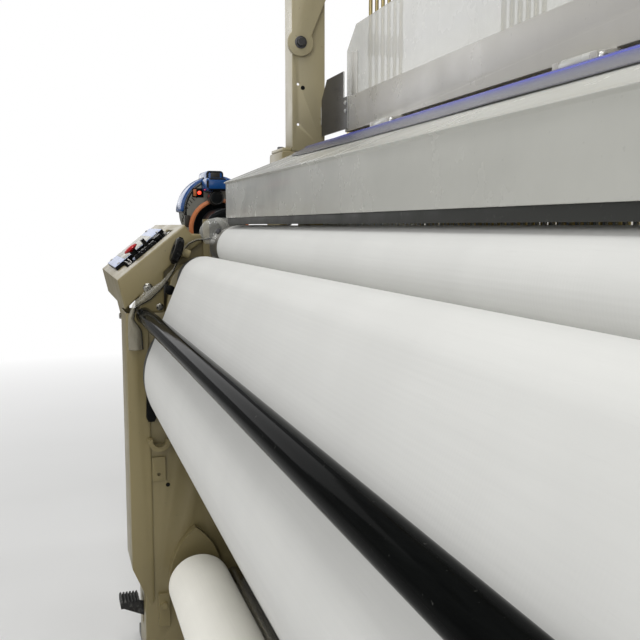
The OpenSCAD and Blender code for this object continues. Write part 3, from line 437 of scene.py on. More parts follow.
def enamel(name, colour, dirt, gloss, peel=0.04):
    """Sprayed machine enamel: cloudy tone, grime spots, orange peel, rubbed edges, and a painted highlight
    that lightens every edge.
    """
    graph = Graph(name)
    cloud = graph.fade(graph.noise(3.1, 5.0, 0.6), 0.3, 0.75)
    tone = graph.mix(cloud, lighter(colour, 0.90), lighter(colour, 1.06))
    streak = graph.noise(5.0, 6.0, 0.65, graph.stretched((2.2, 2.2, 0.35)))
    stain = graph.times(graph.fade(streak, 0.55, 0.80), 0.42 * dirt)
    tone = graph.mix(stain, tone, lighter(colour, 0.50))
    speck = graph.fade(graph.noise(150.0, 2.0, 0.5), 0.705, 0.76)
    tone = graph.mix(graph.times(speck, 0.55 * dirt), tone, (0.06, 0.055, 0.045))
    share, soft = graph.edges(1.6 * MM)
    chips = graph.times(share, graph.fade(graph.noise(45.0, 4.0, 0.7), 0.50, 0.62))
    # Painted highlight: edges are lightened towards a brighter copy of the paint; the chips below are real
    # wear.
    tone = graph.mix(graph.times(share, 0.30), tone, lighter(colour, 1.35))
    tone = graph.mix(graph.times(chips, 0.45 * dirt), tone, (0.42, 0.40, 0.36))
    rough = graph.fade(graph.noise(9.0, 5.0, 0.6), 0.3, 0.7, gloss - 0.07, gloss + 0.13)
    fine = graph.noise(420.0, 2.0, 0.5)
    broad = graph.noise(14.0, 3.0, 0.5)
    height = graph.plus(graph.times(fine, peel), graph.times(broad, 0.5))
    graph.wear(Base_Color=tone, Roughness=rough, Normal=graph.bump(height, 0.7 * MM, 0.5, soft))
    return graph.material


def casting(name, colour, gloss, grain=260.0):
    """A painted sand casting with a grainy skin, and a painted highlight that lightens its edges."""
    graph = Graph(name)
    cloud = graph.fade(graph.noise(5.0, 5.0, 0.65), 0.3, 0.7)
    tone = graph.mix(cloud, lighter(colour, 0.75), lighter(colour, 1.25))
    share, soft = graph.edges(2.2 * MM)
    # Painted highlight: the edges are lightened towards a brighter copy of the casting's colour.
    tone = graph.mix(graph.times(share, 0.5), tone, lighter(colour, 1.9))
    dust = graph.times(graph.fade(graph.noise(60.0, 5.0, 0.7), 0.52, 0.75), 0.125)
    tone = graph.mix(dust, tone, (0.32, 0.31, 0.28))
    rough = graph.fade(graph.noise(30.0, 4.0, 0.6), 0.3, 0.7, gloss - 0.1, gloss + 0.15)
    graph.wear(Base_Color=tone, Roughness=rough,
               Normal=graph.bump(graph.noise(grain, 4.0, 0.6), 0.6 * MM, 0.6, soft))
    return graph.material


def steel(name, colour, gloss, lay, tarnish, metal=1.0):
    """Machined or drawn metal with fine marks; lay squeezes the marks along each axis."""
    graph = Graph(name)
    marks = graph.noise(90.0, 6.0, 0.75, graph.stretched(lay))
    cloud = graph.fade(graph.noise(7.0, 5.0, 0.6), 0.35, 0.7)
    tone = graph.mix(cloud, lighter(colour, 0.85), lighter(colour, 1.1))
    spots = graph.times(graph.fade(graph.noise(38.0, 5.0, 0.7), 0.58, 0.72), tarnish)
    tone = graph.mix(spots, tone, (0.10, 0.075, 0.05))
    rough = graph.fade(marks, 0.3, 0.7, gloss - 0.1, gloss + 0.14)
    graph.wear(Base_Color=tone, Roughness=rough, Metallic=metal,
               Normal=graph.bump(marks, 0.15 * MM, 0.4))
    return graph.material


def plastic(name, colour, gloss, grain=500.0, shine=0.3):
    """Moulded plastic, faintly grained and dusty."""
    graph = Graph(name)
    cloud = graph.noise(24.0, 3.0, 0.5)
    tone = graph.mix(cloud, lighter(colour, 0.88), lighter(colour, 1.1))
    dust = graph.times(graph.fade(graph.noise(170.0, 3.0, 0.6), 0.62, 0.76), 0.07)
    tone = graph.mix(dust, tone, (0.55, 0.53, 0.50))
    rough = graph.fade(cloud, 0.3, 0.7, gloss - 0.05, gloss + 0.12)
    graph.wear(Base_Color=tone, Roughness=rough, Specular_IOR_Level=shine,
               Normal=graph.bump(graph.noise(grain, 2.0), 0.04 * MM, 0.3))
    return graph.material


def lacquer(name, colour, gloss, shine):
    """Smooth dark lacquer with faint wiping marks."""
    graph = Graph(name)
    wiped = graph.noise(40.0, 5.0, 0.7, graph.stretched((0.3, 4.0, 4.0)))
    tone = graph.mix(graph.fade(wiped, 0.4, 0.75), (*colour, 1.0), lighter(colour, 1.8))
    specks = graph.fade(graph.noise(190.0, 2.0, 0.5), 0.72, 0.78, 0.0, 0.12)
    tone = graph.mix(specks, tone, (0.30, 0.30, 0.28))
    rough = graph.fade(wiped, 0.3, 0.7, gloss, gloss + 0.1)
    graph.wear(Base_Color=tone, Roughness=rough, Specular_IOR_Level=shine,
               Normal=graph.bump(graph.noise(30.0, 3.0), 0.2 * MM, 0.25))
    return graph.material


def rubber(name, colour, ridges=0.0):
    """Dull rubber; ridges is the phase, in radians, of its fine ridges over one metre along X."""
    graph = Graph(name)
    cloud = graph.noise(16.0, 5.0, 0.6)
    tone = graph.mix(cloud, lighter(colour, 0.8), lighter(colour, 1.2))
    dust = graph.times(graph.fade(graph.noise(90.0, 4.0, 0.7), 0.5, 0.75), 0.3)
    tone = graph.mix(dust, tone, (0.42, 0.41, 0.38))
    height = graph.noise(700.0, 3.0)
    if ridges:
        height = graph.plus(height, graph.wave(ridges))
    graph.wear(Base_Color=tone, Roughness=0.72, Normal=graph.bump(height, 0.3 * MM, 0.5))
    return graph.material


def clear(name, colour, cover, gloss, haze, waves=9.0, shine=0.5, coat=0.0):
    """Clear or smoky plastic; cover is the least share of the light that it stops."""
    graph = Graph(name)
    cloud = graph.noise(6.0, 5.0, 0.6)
    tone = graph.mix(cloud, lighter(colour, 0.9), lighter(colour, 1.05))
    smears = graph.fade(graph.noise(11.0, 6.0, 0.7, graph.stretched((1.0, 1.0, 0.25))), 0.45, 0.75)
    rim = graph.add("LayerWeight", {"Blend": 0.35}).outputs["Facing"]
    share = graph.plus(graph.times(rim, 0.35), graph.times(smears, 0.2 * haze))
    share = graph.math("MINIMUM", graph.plus(share, cover), 1.0)
    rough = graph.fade(cloud, 0.3, 0.7, gloss, gloss + 0.15)
    graph.wear(Base_Color=tone, Roughness=rough, Alpha=share, Specular_IOR_Level=shine, Coat_Weight=coat,
               Normal=graph.bump(graph.noise(waves, 3.0), 1.2 * MM, 0.35))
    return graph.material


def woven(name, colour):
    """Plain woven cloth on the piece's own map, in metres, with faint bars from the weft and soft patches
    of painted shade.
    """
    graph = Graph(name)
    flat = graph.add("UVMap").outputs["UV"]
    warp, weft = graph.wave(1500.0, flat), graph.wave(1100.0, flat, "Y")
    bar = graph.noise(2.6, 6.0, 0.72, graph.stretched((0.35, 22.0, 1.0), flat))
    cloud = graph.noise(1.6, 4.0, 0.6, flat)
    tone = graph.mix(graph.fade(bar, 0.35, 0.7), lighter(colour, 0.955), lighter(colour, 1.015))
    tone = graph.mix(graph.fade(cloud, 0.35, 0.7, 0.0, 0.5), tone, lighter(colour, 0.965))
    # Painted shade: broad soft patches darken the cloth, standing in for the patchy lamp light along the
    # roller.
    painted_shade_patches = graph.noise(1.0, 2.0, 0.5, graph.stretched((7.0, 4.0, 1.0), flat))
    tone = graph.mix(graph.fade(painted_shade_patches, 0.42, 0.62, 0.0, 0.6), tone, lighter(colour, 0.93))
    slub = graph.noise(240.0, 3.0, 0.7, graph.stretched((0.06, 1.6, 1.0), flat))
    tone = graph.mix(graph.fade(slub, 0.60, 0.74, 0.0, 0.35), tone, lighter(colour, 0.86))
    height = graph.plus(graph.times(graph.plus(warp, weft), 0.5), graph.times(bar, 0.3))
    graph.wear(Base_Color=tone, Roughness=0.86, Specular_IOR_Level=0.25, Sheen_Weight=0.15,
               Sheen_Roughness=0.5, Normal=graph.bump(height, 0.15 * MM, 0.35))
    return graph.material


def threads(name, colour):
    """Many fine threads side by side along X."""
    graph = Graph(name)
    fine = graph.wave(900.0)
    band = graph.noise(60.0, 4.0, 0.8, graph.stretched((3.0, 0.02, 0.02)))
    tone = graph.mix(graph.fade(band, 0.35, 0.7), lighter(colour, 0.86), lighter(colour, 1.03))
    height = graph.plus(fine, graph.times(band, 1.5))
    graph.wear(Base_Color=tone, Roughness=0.6, Normal=graph.bump(height, 0.3 * MM, 0.5), Sheen_Weight=0.2)
    return graph.material


SEAL_WIDTH = 0.148


def seal_vinyl(name):
    """Violet-blue vinyl strip: bright blue along its upper rim, running down through violet to a
    see-through grey foot; the grey foot is partly the film's own tone and partly painted dark reflection of
    the hood's slope.
    """
    graph = Graph(name)
    up = graph.add("UVMap").outputs["UV"]
    height = graph.add("SeparateXYZ", {"Vector": up}).outputs["Y"]
    height = graph.plus(height, graph.times(graph.math("SUBTRACT", graph.noise(4.0, 5.0, 0.6), 0.5), 0.012))
    # Tone across the strip: grey foot, violet, blue rim; the grey foot also paints the dark reflection of
    # the slope.
    tone = graph.ramp(graph.math("DIVIDE", height, SEAL_WIDTH), (
        (0.0, (0.25, 0.25, 0.28)), (0.35, (0.17, 0.18, 0.25)), (0.60, (0.08, 0.09, 0.22)),
        (0.72, (0.09, 0.11, 0.33)), (0.765, (0.045, 0.065, 0.52)), (1.0, (0.06, 0.08, 0.60))))
    streak = graph.noise(18.0, 6.0, 0.7, graph.stretched((0.4, 3.0, 3.0)))
    tone = graph.mix(graph.fade(streak, 0.5, 0.8, 0.0, 0.30), tone, (0.28, 0.29, 0.42))
    alpha = graph.fade(height, 0.0, SEAL_WIDTH * 0.5, 0.72, 0.96)
    graph.wear(Base_Color=tone, Roughness=0.22, Alpha=alpha,
               Normal=graph.bump(graph.noise(7.0, 4.0), 2.0 * MM, 0.4))
    return graph.material


# Slot: the function that makes its finish, and the values it takes after the name
FINISHES = {
    "frame_enamel": (enamel, (0.240, 0.196, 0.092), 0.55, 0.34),
    "cream_enamel": (enamel, (0.52, 0.365, 0.175), 0.45, 0.26),
    "grey_enamel": (enamel, (0.47, 0.455, 0.41), 0.25, 0.30),
    "hood_enamel": (enamel, (0.53, 0.53, 0.49), 0.16, 0.22, 0.08),
    "panel_steel": (steel, (0.34, 0.39, 0.54), 0.34, (1.0, 30.0, 30.0), 0.25),
    "cast_iron": (casting, (0.13, 0.13, 0.12), 0.55),
    "black_casting": (casting, (0.012, 0.013, 0.014), 0.34, 180.0),
    "grey_casting": (casting, (0.17, 0.18, 0.18), 0.45),
    "blue_vinyl": (seal_vinyl,),
    "clear_guard": (clear, (0.70, 0.70, 0.66), 0.42, 0.18, 0.8),
    "clear_cup": (clear, (0.78, 0.78, 0.73), 0.15, 0.01, 0.4, 10.0, 1.0, 1.0),
    "clear_vinyl": (clear, (0.37, 0.345, 0.27), 0.36, 0.06, 0.9, 22.0, 0.7, 0.6),
    "red_plastic": (plastic, (0.40, 0.010, 0.012), 0.24),
    "orange_plastic": (plastic, (0.50, 0.165, 0.06), 0.45),
    "black_plastic": (plastic, (0.004, 0.004, 0.0042), 0.34, 500.0, 0.12),
    "black_gloss": (lacquer, (0.0028, 0.0031, 0.0030), 0.05, 0.008),
    "feeder_black": (plastic, (0.006, 0.007, 0.008), 0.3, 260.0, 0.15),
    "roller_steel": (steel, (0.50, 0.49, 0.46), 0.28, (0.4, 22.0, 22.0), 0.25),
    "dark_steel": (steel, (0.10, 0.10, 0.105), 0.36, (1.0, 12.0, 12.0), 0.4),
    "reed_steel": (steel, (0.52, 0.55, 0.58), 0.25, (8.0, 8.0, 0.5), 0.1),
    "beam_metal": (steel, (0.56, 0.56, 0.55), 0.34, (20.0, 1.0, 1.0), 0.15),
    "alloy": (steel, (0.60, 0.60, 0.58), 0.36, (1.0, 6.0, 6.0), 0.12),
    "heald_alloy": (steel, (0.56, 0.46, 0.22), 0.3, (6.0, 6.0, 0.4), 0.45),
    "roller_rubber": (rubber, (0.075, 0.078, 0.075), 60.0),
    "belt_rubber": (rubber, (0.018, 0.018, 0.018)),
    "pedal_rubber": (rubber, (0.014, 0.014, 0.014)),
    "cloth": (woven, (0.665, 0.665, 0.64)),
    # The wound roll takes the same cloth in a far brighter tone: painted light, for the stronger light that
    # falls on the roll.
    "cloth_roll": (woven, (0.97, 0.95, 0.87)),
    "yarn": (threads, (0.80, 0.79, 0.75)),
}
made_finishes = {}


def finish_of(slot):
    if slot not in made_finishes:
        maker, *values = FINISHES[slot]
        made_finishes[slot] = maker(slot, *values)
    return made_finishes[slot]


# Settings that a user would change

class LoomStageSettings(bpy.types.PropertyGroup):
    camera_at: bpy.props.FloatVectorProperty(
        name="Camera", description="Place of the camera", default=(0.850, -0.857, 1.030),
        subtype="XYZ", unit="LENGTH")
    turn: bpy.props.FloatProperty(
        name="Turn", description="Turn of the view from -X towards +Y",
        default=math.radians(18.0527), subtype="ANGLE")
    dip: bpy.props.FloatProperty(
        name="Dip", description="Dip of the view below the horizon",
        default=math.radians(6.4877), subtype="ANGLE")
    lens: bpy.props.FloatProperty(
        name="Lens", description="Focal length on a 36 mm sensor", default=46.74, min=10.0, max=200.0)
    floor_size: bpy.props.FloatProperty(
        name="Floor", description="Side of the floor", default=60.0, subtype="DISTANCE", unit="LENGTH")
    floor_colour: bpy.props.FloatVectorProperty(
        name="Floor colour", description="Colour of the floor", default=(0.78, 0.78, 0.77),
        subtype="COLOR", size=3, min=0.0, max=1.0)
    fill: bpy.props.FloatProperty(
        name="Fill light", description="Strength of the even light", default=0.30, min=0.0, max=5.0)


class LoomClothSettings(bpy.types.PropertyGroup):
    thickness: bpy.props.FloatProperty(
        name="Thickness", description="Thickness of the cloth", default=0.8 * MM,
        subtype="DISTANCE", unit="LENGTH")
    gap: bpy.props.FloatProperty(
        name="Gap", description="Gap between the cloth and a roller", default=0.5 * MM,
        subtype="DISTANCE", unit="LENGTH")
    columns: bpy.props.IntProperty(
        name="Columns", description="Mesh columns across the cloth", default=48, min=8, max=200)
    ripple: bpy.props.FloatProperty(
        name="Ripple", description="Height of the soft waves near the edges", default=0.7 * MM,
        subtype="DISTANCE", unit="LENGTH")


class LoomFittingSettings(bpy.types.PropertyGroup):
    bolt_across: bpy.props.FloatProperty(
        name="Bolt", description="Width across the flats of a machine bolt", default=19 * MM,
        subtype="DISTANCE", unit="LENGTH")
    screw_head: bpy.props.FloatProperty(
        name="Screw", description="Radius of a sheet metal screw head", default=5 * MM,
        subtype="DISTANCE", unit="LENGTH")


# Stage

# Lights: name, place, the point it is aimed at, the two sides in metres, power in watts
LIGHTS = (
    ("overhead_front", (0.4, -1.3, 4.2), (0.2, -0.45, 1.0), (6.0, 0.4), 74.0),
    ("overhead_rear", (0.2, 1.4, 4.4), (0.0, 0.2, 1.0), (6.5, 0.7), 60.0),
    ("overhead_middle", (-0.2, -0.2, 4.8), (0.0, -0.2, 1.0), (6.0, 0.3), 42.0),
    ("front_soft", (0.6, -5.0, 1.6), (0.0, -0.4, 0.8), (5.0, 2.0), 24.0),
    ("left_soft", (-5.2, -1.6, 2.4), (-0.6, -0.3, 1.0), (2.6, 2.2), 26.0),
    ("right_soft", (5.2, -0.2, 2.4), (0.6, -0.2, 1.0), (2.6, 2.2), 40.0),
    ("front_right", (1.3, -1.9, 1.75), (0.15, -0.45, 1.05), (0.9, 0.7), 10.0),
)


def area_light(name, at, aim, size, power):
    light = bpy.data.lights.new(name, "AREA")
    light.shape = "RECTANGLE"
    light.size, light.size_y = size
    light.energy = power
    lamp = bpy.data.objects.new(name, light)
    bpy.context.scene.collection.objects.link(lamp)
    lamp.location = at
    lamp.rotation_euler = (Vector(aim) - Vector(at)).to_track_quat("-Z", "Y").to_euler()


def floor_finish(colour, near=2.6, far=6.0):
    """A pale floor that fades into the white surround between two distances."""
    graph = Graph("floor_finish")
    tone = graph.mix(graph.fade(graph.noise(1.5, 4.0), 0.3, 0.7), (*colour, 1.0), lighter(colour, 0.97))
    graph.wear(Base_Color=tone, Roughness=0.62)
    distance = graph.add("VectorMath", {0: graph.place}, operation="LENGTH").outputs["Value"]
    seen = graph.add("LightPath").outputs["Is Camera Ray"]
    surround = graph.add("Emission", {"Color": (1.0, 1.0, 1.0, 1.0)}).outputs["Emission"]
    mixed = graph.add("MixShader", {0: graph.times(graph.fade(distance, near, far), seen)})
    graph.link(graph.shader.outputs["BSDF"], mixed.inputs[1])
    graph.link(surround, mixed.inputs[2])
    graph.link(mixed.outputs["Shader"], graph.output.inputs["Surface"])
    return graph.material


class LOOM_OT_stage(bpy.types.Operator):
    """Lays the pale floor, the soft lights, the white surround and the camera"""
    bl_idname = "loom.stage"
    bl_label = "Stage"

    def execute(self, context):
        settings = context.scene.loom_stage
        deselect()
        bpy.ops.mesh.primitive_plane_add(size=settings.floor_size)
        floor = context.view_layer.objects.active
        floor.name = "floor"
        floor.data.materials.append(floor_finish(settings.floor_colour))
        self.surround(context.scene, settings.fill)
        for values in LIGHTS:
            area_light(*values)
        self.camera(context.scene, settings)
        context.scene.view_settings.view_transform = "Standard"
        return {"FINISHED"}

    def surround(self, scene, fill):
        """White where the camera sees it, and an even fill light elsewhere."""
        world = bpy.data.worlds.new("surround")
        scene.world = world
        world.use_nodes = True
        tree = world.node_tree
        tree.nodes.clear()
        path = tree.nodes.new("ShaderNodeLightPath")
        seen = tree.nodes.new("ShaderNodeMath")
        seen.operation = "MAXIMUM"
        tree.links.new(path.outputs["Is Camera Ray"], seen.inputs[0])
        tree.links.new(path.outputs["Is Transmission Ray"], seen.inputs[1])
        level = tree.nodes.new("ShaderNodeMapRange")
        level.inputs["To Min"].default_value = fill
        level.inputs["To Max"].default_value = 1.0
        tree.links.new(seen.outputs["Value"], level.inputs["Value"])
        back = tree.nodes.new("ShaderNodeBackground")
        back.inputs["Color"].default_value = (1.0, 1.0, 1.0, 1.0)
        tree.links.new(level.outputs["Result"], back.inputs["Strength"])
        output = tree.nodes.new("ShaderNodeOutputWorld")
        tree.links.new(back.outputs["Background"], output.inputs["Surface"])

    def camera(self, scene, settings):
        lens = bpy.data.cameras.new("camera")
        lens.sensor_width = 36.0
        lens.lens = settings.lens
        lens.clip_start = 0.01
        lens.clip_end = 200.0
        camera = bpy.data.objects.new("camera", lens)
        scene.collection.objects.link(camera)
        flat = math.cos(settings.dip)
        look = Vector((-math.cos(settings.turn) * flat, math.sin(settings.turn) * flat,
                       -math.sin(settings.dip)))
        camera.location = settings.camera_at
        camera.rotation_mode = "QUATERNION"
        camera.rotation_quaternion = look.to_track_quat("-Z", "Y")
        scene.camera = camera


# Frame nodes: finishes for all, and rounded copies of the sheet metal and castings

# Node: name of the copy, width of its rounded edges, mesh segments round an edge
ROUNDED = {
    "operator_box": ("operator_box_shell", 4.0 * MM, 3),
    "leg_covers": ("leg_cover_sheets", 1.2 * MM, 2),
    "left_side_frame": ("left_frame_casting", 4.0 * MM, 2),
    "right_side_frame": ("right_frame_casting", 4.0 * MM, 2),
    "front_hood": ("front_hood_sheet", 0.9 * MM, 2),
    "upper_front_panel": ("upper_panel_sheet", 0.9 * MM, 2),
    "columns": ("column_posts", 1.5 * MM, 2),
    "column_arms": ("column_arm_plates", 1.5 * MM, 2),
    "top_beam": ("top_beam_box", 4.0 * MM, 3),
    "cross_beams": ("tie_beams", 4.0 * MM, 2),
    "dobby_housing": ("dobby_casting", 3.0 * MM, 2),
    "dobby_bracket": ("dobby_gussets", 1.5 * MM, 2),
    "right_end_cover": ("right_end_shell", 2.5 * MM, 2),
    "switch_plate": ("switch_plate_face", 1.0 * MM, 2),
    "machine_feet": ("foot_plates", 1.5 * MM, 2),
    "return_spring_boxes": ("spring_box_shells", 1.5 * MM, 2),
    "weft_feeder": ("feeder_casting", 4.0 * MM, 3),
}
COLUMN_PIECES = ("columns", "column_arms", "top_beam", "dobby_bracket")


class LOOM_OT_frame(bpy.types.Operator):
    """Gives every frame node its finish, and rounds the edges of sheets and castings"""
    bl_idname = "loom.frame"
    bl_label = "Frame nodes"

    def execute(self, context):
        slots = {name: node.material_slots[0].material.name for name, node in frame["nodes"].items()}
        for material in list(bpy.data.materials):
            if material.name in FINISHES:
                material.name = material.name + "_plain"
        for name, node in frame["nodes"].items():
            node.material_slots[0].material = finish_of(slots[name])
        column_enamel = enamel("column_enamel", (0.405, 0.355, 0.220), 0.5, 0.30)
        for name, (copy_name, edge, segments) in ROUNDED.items():
            body = frame["nodes"][name]["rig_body"]
            paint = column_enamel if name in COLUMN_PIECES else None
            finish(dressed(name, copy_name, edge, segments), copy_name, body, slots[name], paint)
        return {"FINISHED"}


# Cloth and warp

def polar(centre, radius, angle):
    return centre[0] + radius * math.cos(angle), centre[1] + radius * math.sin(angle)


def heading(first, second):
    """Heading of the straight run between two guides, each (centre, radius, turn)."""
    (y0, z0), r0, s0 = first
    (y1, z1), r1, s1 = second
    length = math.hypot(y1 - y0, z1 - z0)
    return math.atan2(z1 - z0, y1 - y0) - math.asin((r1 * s1 - r0 * s0) / length)


def web_points(guides, step=math.radians(3.0), run=0.03):
    """Points (y, z) and headings of a web that runs over guides, with long runs divided."""
    points = []
    last = len(guides) - 1
    for i, (centre, radius, turn) in enumerate(guides):
        before = heading(guides[max(i - 1, 0)], guides[max(i, 1)])
        after = before if i == last else heading(guides[i], guides[i + 1])
        sweep = 0.0 if i in (0, last) else (after - before) % (2 * math.pi)
        if turn < 0 and sweep:
            sweep -= 2 * math.pi
        count = max(1, math.ceil(abs(sweep) / step))
        for k in range(count + 1 if sweep else 1):
            angle = before + sweep * k / count
            side = angle - math.pi / 2 * turn
            points.append((*polar(centre, radius, side), angle))
    dense = [points[0]]
    for here in points[1:]:
        y0, z0, _ = dense[-1]
        length = math.hypot(here[0] - y0, here[1] - z0)
        pieces = max(1, math.ceil(length / run))
        for k in range(1, pieces + 1):
            share = k / pieces
            dense.append((y0 + (here[0] - y0) * share, z0 + (here[1] - z0) * share, here[2]))
    return dense


def web_sheet(name, guides, half, columns, thickness, ripple=0.0, free=None):
    """A sheet along X over guides, mapped in metres across and along it, and its length."""
    path = web_points(guides)
    rows = len(path)
    deselect()
    bpy.ops.mesh.primitive_grid_add(x_subdivisions=columns, y_subdivisions=rows - 1, size=2.0)
    piece = newest(name)
    along = [0.0]
    for (y0, z0, _), (y1, z1, _) in zip(path, path[1:]):
        along.append(along[-1] + math.hypot(y1 - y0, z1 - z0))
    mesh = piece.data
    place = {}
    for vertex in mesh.vertices:
        row = min(rows - 1, max(0, round((vertex.co.y + 1.0) / 2.0 * (rows - 1))))
        x = vertex.co.x * half
        y, z, angle = path[row]
        lift = 0.0
        if ripple:
            near_edge = max(0.0, (abs(x) / half - 0.8) / 0.2)
            wave = math.sin(along[row] * 31.0 + x * 5.0) + math.sin(x * 17.0 + along[row] * 9.0)
            slack = free(y, z) if free else 1.0
            lift = ripple * slack * wave * (0.25 + near_edge)
        vertex.co = (x, y - math.sin(angle) * lift, z + math.cos(angle) * lift)
        place[vertex.index] = (x, along[row])
    chart = mesh.uv_layers.active
    for loop in mesh.loops:
        chart.data[loop.index].uv = place[loop.vertex_index]
    mesh.update()
    add_wall(piece, thickness)
    smooth(piece, 40.0)
    return piece, along[-1]


def ring_of(node):
    """Centre (y, z) and outer radius of a roller node."""
    low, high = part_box(node)
    return ((low.y + high.y) / 2, (low.z + high.z) / 2), (high.z - low.z) / 2


def guide_over(node, turn, thickness, gap):
    centre, radius = ring_of(node)
    return centre, radius + gap + thickness / 2, turn


def map_round(piece, centre, radius):
    """Maps a turned piece along X in metres: along X, and round its axis."""
    mesh = piece.data
    chart = mesh.uv_layers.active
    for face in mesh.polygons:
        angles = []
        for index in face.loop_indices:
            point = mesh.vertices[mesh.loops[index].vertex_index].co
            angles.append(math.atan2(point.z - centre[1], point.y - centre[0]))
        for index, angle in zip(face.loop_indices, angles):
            if angle - angles[0] > math.pi:
                angle -= 2 * math.pi
            elif angle - angles[0] < -math.pi:
                angle += 2 * math.pi
            point = mesh.vertices[mesh.loops[index].vertex_index].co
            chart.data[index].uv = (point.x, angle * radius)


def along_x(piece, x, centre):
    """Stands a piece that was turned about +Z on the loom's X direction."""
    return moved(piece, Matrix.Translation((x, *centre)) @ Matrix.Rotation(math.pi / 2, 4, "Y"))


class LOOM_OT_cloth(bpy.types.Operator):
    """Runs the cloth from the fell over its rollers to the wound roll"""
    bl_idname = "loom.cloth"
    bl_label = "Cloth and cloth roll"

    def execute(self, context):
        settings = context.scene.loom_cloth
        thick, gap = settings.thickness, settings.gap
        fell = ((span("cloth_web", "y")[1] - 1.5 * MM, CLOTH_TOP - thick / 2), 0.0, 1)
        guides = [fell]
        for node, turn in (("breast_roller", 1), ("press_roller", -1), ("guide_roller", 1),
                           ("take_up_roller", 1), ("spreader_pipe", -1), ("cloth_roll", -1)):
            guides.append(guide_over(node, turn, thick, gap))

        def slack(y, z):
            """1 in the free run before the breast roller, 0 where the cloth lies on rollers."""
            return 1.0 if z > CLOTH_TOP - 2 * thick and y > guides[1][0][0] + 0.02 else 0.0

        web, length = web_sheet("woven_cloth", guides, CLOTH_HALF, settings.columns, thick,
                                settings.ripple, slack)
        finish(web, "woven_cloth", FIXED, "cloth")
        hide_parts("cloth_web")
        self.roll()
        self.roll_ends()
        return {"FINISHED"}

    def roll(self):
        """The wound cloth, with the edges of its layers in its end faces and slow hills along it."""
        centre, radius = ring_of("cloth_roll")
        core, layers, hills = 30 * MM, 9, 24
        step = (radius - core) / layers
        face = []
        for k in range(layers):
            inner = core + k * step
            face += [(0.6 * MM, inner + 0.1 * step), (0.0, inner + 0.5 * step),
                     (0.6 * MM, inner + 0.95 * step)]
        end = [(2 * CLOTH_HALF - height, ring) for height, ring in reversed(face)]
        along = [(2 * CLOTH_HALF * share, radius - 0.25 * MM * (1 + math.sin(share * 37.0)))
                 for share in [k / hills for k in range(1, hills)]]
        wound = along_x(turned("wound_cloth", face + along + end, 72), -CLOTH_HALF, centre)
        map_round(wound, centre, radius)
        finish(wound, "wound_cloth", "roll", "cloth_roll")
        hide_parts("cloth_roll")

    def roll_ends(self):
        """Disc, neck, coupling, shaft and screws at both ends of the roll, and the coupling's band."""
        centre, _ = ring_of("cloth_roll")
        profiles = (mm_all((0, 60), (7, 60), (10, 57)),
                    mm_all((9, 38), (18, 38)),
                    mm_all((17, 54), (18, 56), (27, 56), (28, 54), (28, 34), (24, 32)))
        ends = [along_x(turned("roll_end", profile, 48), CLOTH_HALF, centre) for profile in profiles]
        shaft_length = span("cloth_roll", "x")[1] - CLOTH_HALF - 28 * MM
        shaft = turned("roll_shaft", [mm(0, 19), mm(0.5, 20), (shaft_length, 20 * MM)], 40)
        ends.append(along_x(shaft, CLOTH_HALF + 27 * MM, centre))
        circle = on_circle(CLOTH_HALF + 28 * MM, centre, 45 * MM)
        ends.append(copies("end_screws", socket_screw(5 * MM), [(*place[:2], 0.3) for place in circle]))
        finish(both_ends("cloth_roll_ends", join("cloth_roll_end", ends)), "cloth_roll_ends", "roll",
               "grey_casting")
        profile = mm_all((18.5, 56), (19, 57.5), (26, 57.5), (26.5, 56))
        band = along_x(turned("coupling_band", profile, 48), CLOTH_HALF, centre)
        finish(both_ends("coupling_bands", band), "coupling_bands", "roll", "belt_rubber")


class LOOM_OT_warp(bpy.types.Operator):
    """Winds the warp yarn on its beam and lays the sheet of warp ends over the back rest"""
    bl_idname = "loom.warp"
    bl_label = "Warp"

    def execute(self, context):
        thick, columns = 1.2 * MM, 120
        gap = context.scene.loom_cloth.gap
        start = ((span("warp_sheet", "y")[0], CLOTH_TOP - 0.4 * MM), 0.0, 1)
        beam_centre, yarn_radius = ring_of("warp_yarn")
        guides = [start, guide_over("back_rest_roller", -1, thick, gap),
                  (beam_centre, yarn_radius + gap + thick / 2, -1)]
        half = span("warp_sheet", "x")[1]
        web, length = web_sheet("warp_ends", guides, half, columns, thick)
        finish(web, "warp_ends", FIXED, "yarn")
        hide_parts("warp_sheet")
        low, high = span("warp_yarn", "x")
        core, ridges = 101 * MM, 150
        pitch = (high - low) / ridges
        crest, valley, end = [yarn_radius - depth for depth in mm(0.1, 1.2, 1.5)]
        profile = [(0.0, core), (0.0, end)]
        for k in range(ridges):
            profile += [((k + 0.15) * pitch, crest), ((k + 0.85) * pitch, crest),
                        ((k + 0.95) * pitch, valley)]
        profile += [(high - low, end), (high - low, core)]
        yarn = along_x(turned("wound_warp", profile, 96), low, beam_centre)
        finish(yarn, "wound_warp", "beam", "yarn")
        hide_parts("warp_yarn")
        return {"FINISHED"}


# Hood strip and the panels over it

HOOD_FOLD = Vector((0.0, -490 * MM, CLOTH_TOP + 94 * MM))
HOOD_HINGE = Vector((0.0, -263 * MM, CLOTH_TOP + 187 * MM))
SLOPE = (HOOD_HINGE - HOOD_FOLD).normalized()
SLOPE_NORMAL = Vector((0.0, -SLOPE.z, SLOPE.y))
HINGE_X = mm(-600, 0, 600)
PANEL_FACE = -245 * MM
GUARD_FACE = -219 * MM


def front_prism(name, outline, y, depth):
    """An outline of (x, z) points drawn along -Y from y."""
    place = Matrix.Translation((0.0, y, 0.0)) @ Matrix.Rotation(math.pi / 2, 4, "X")
    return moved(prism(name, outline, depth), place)


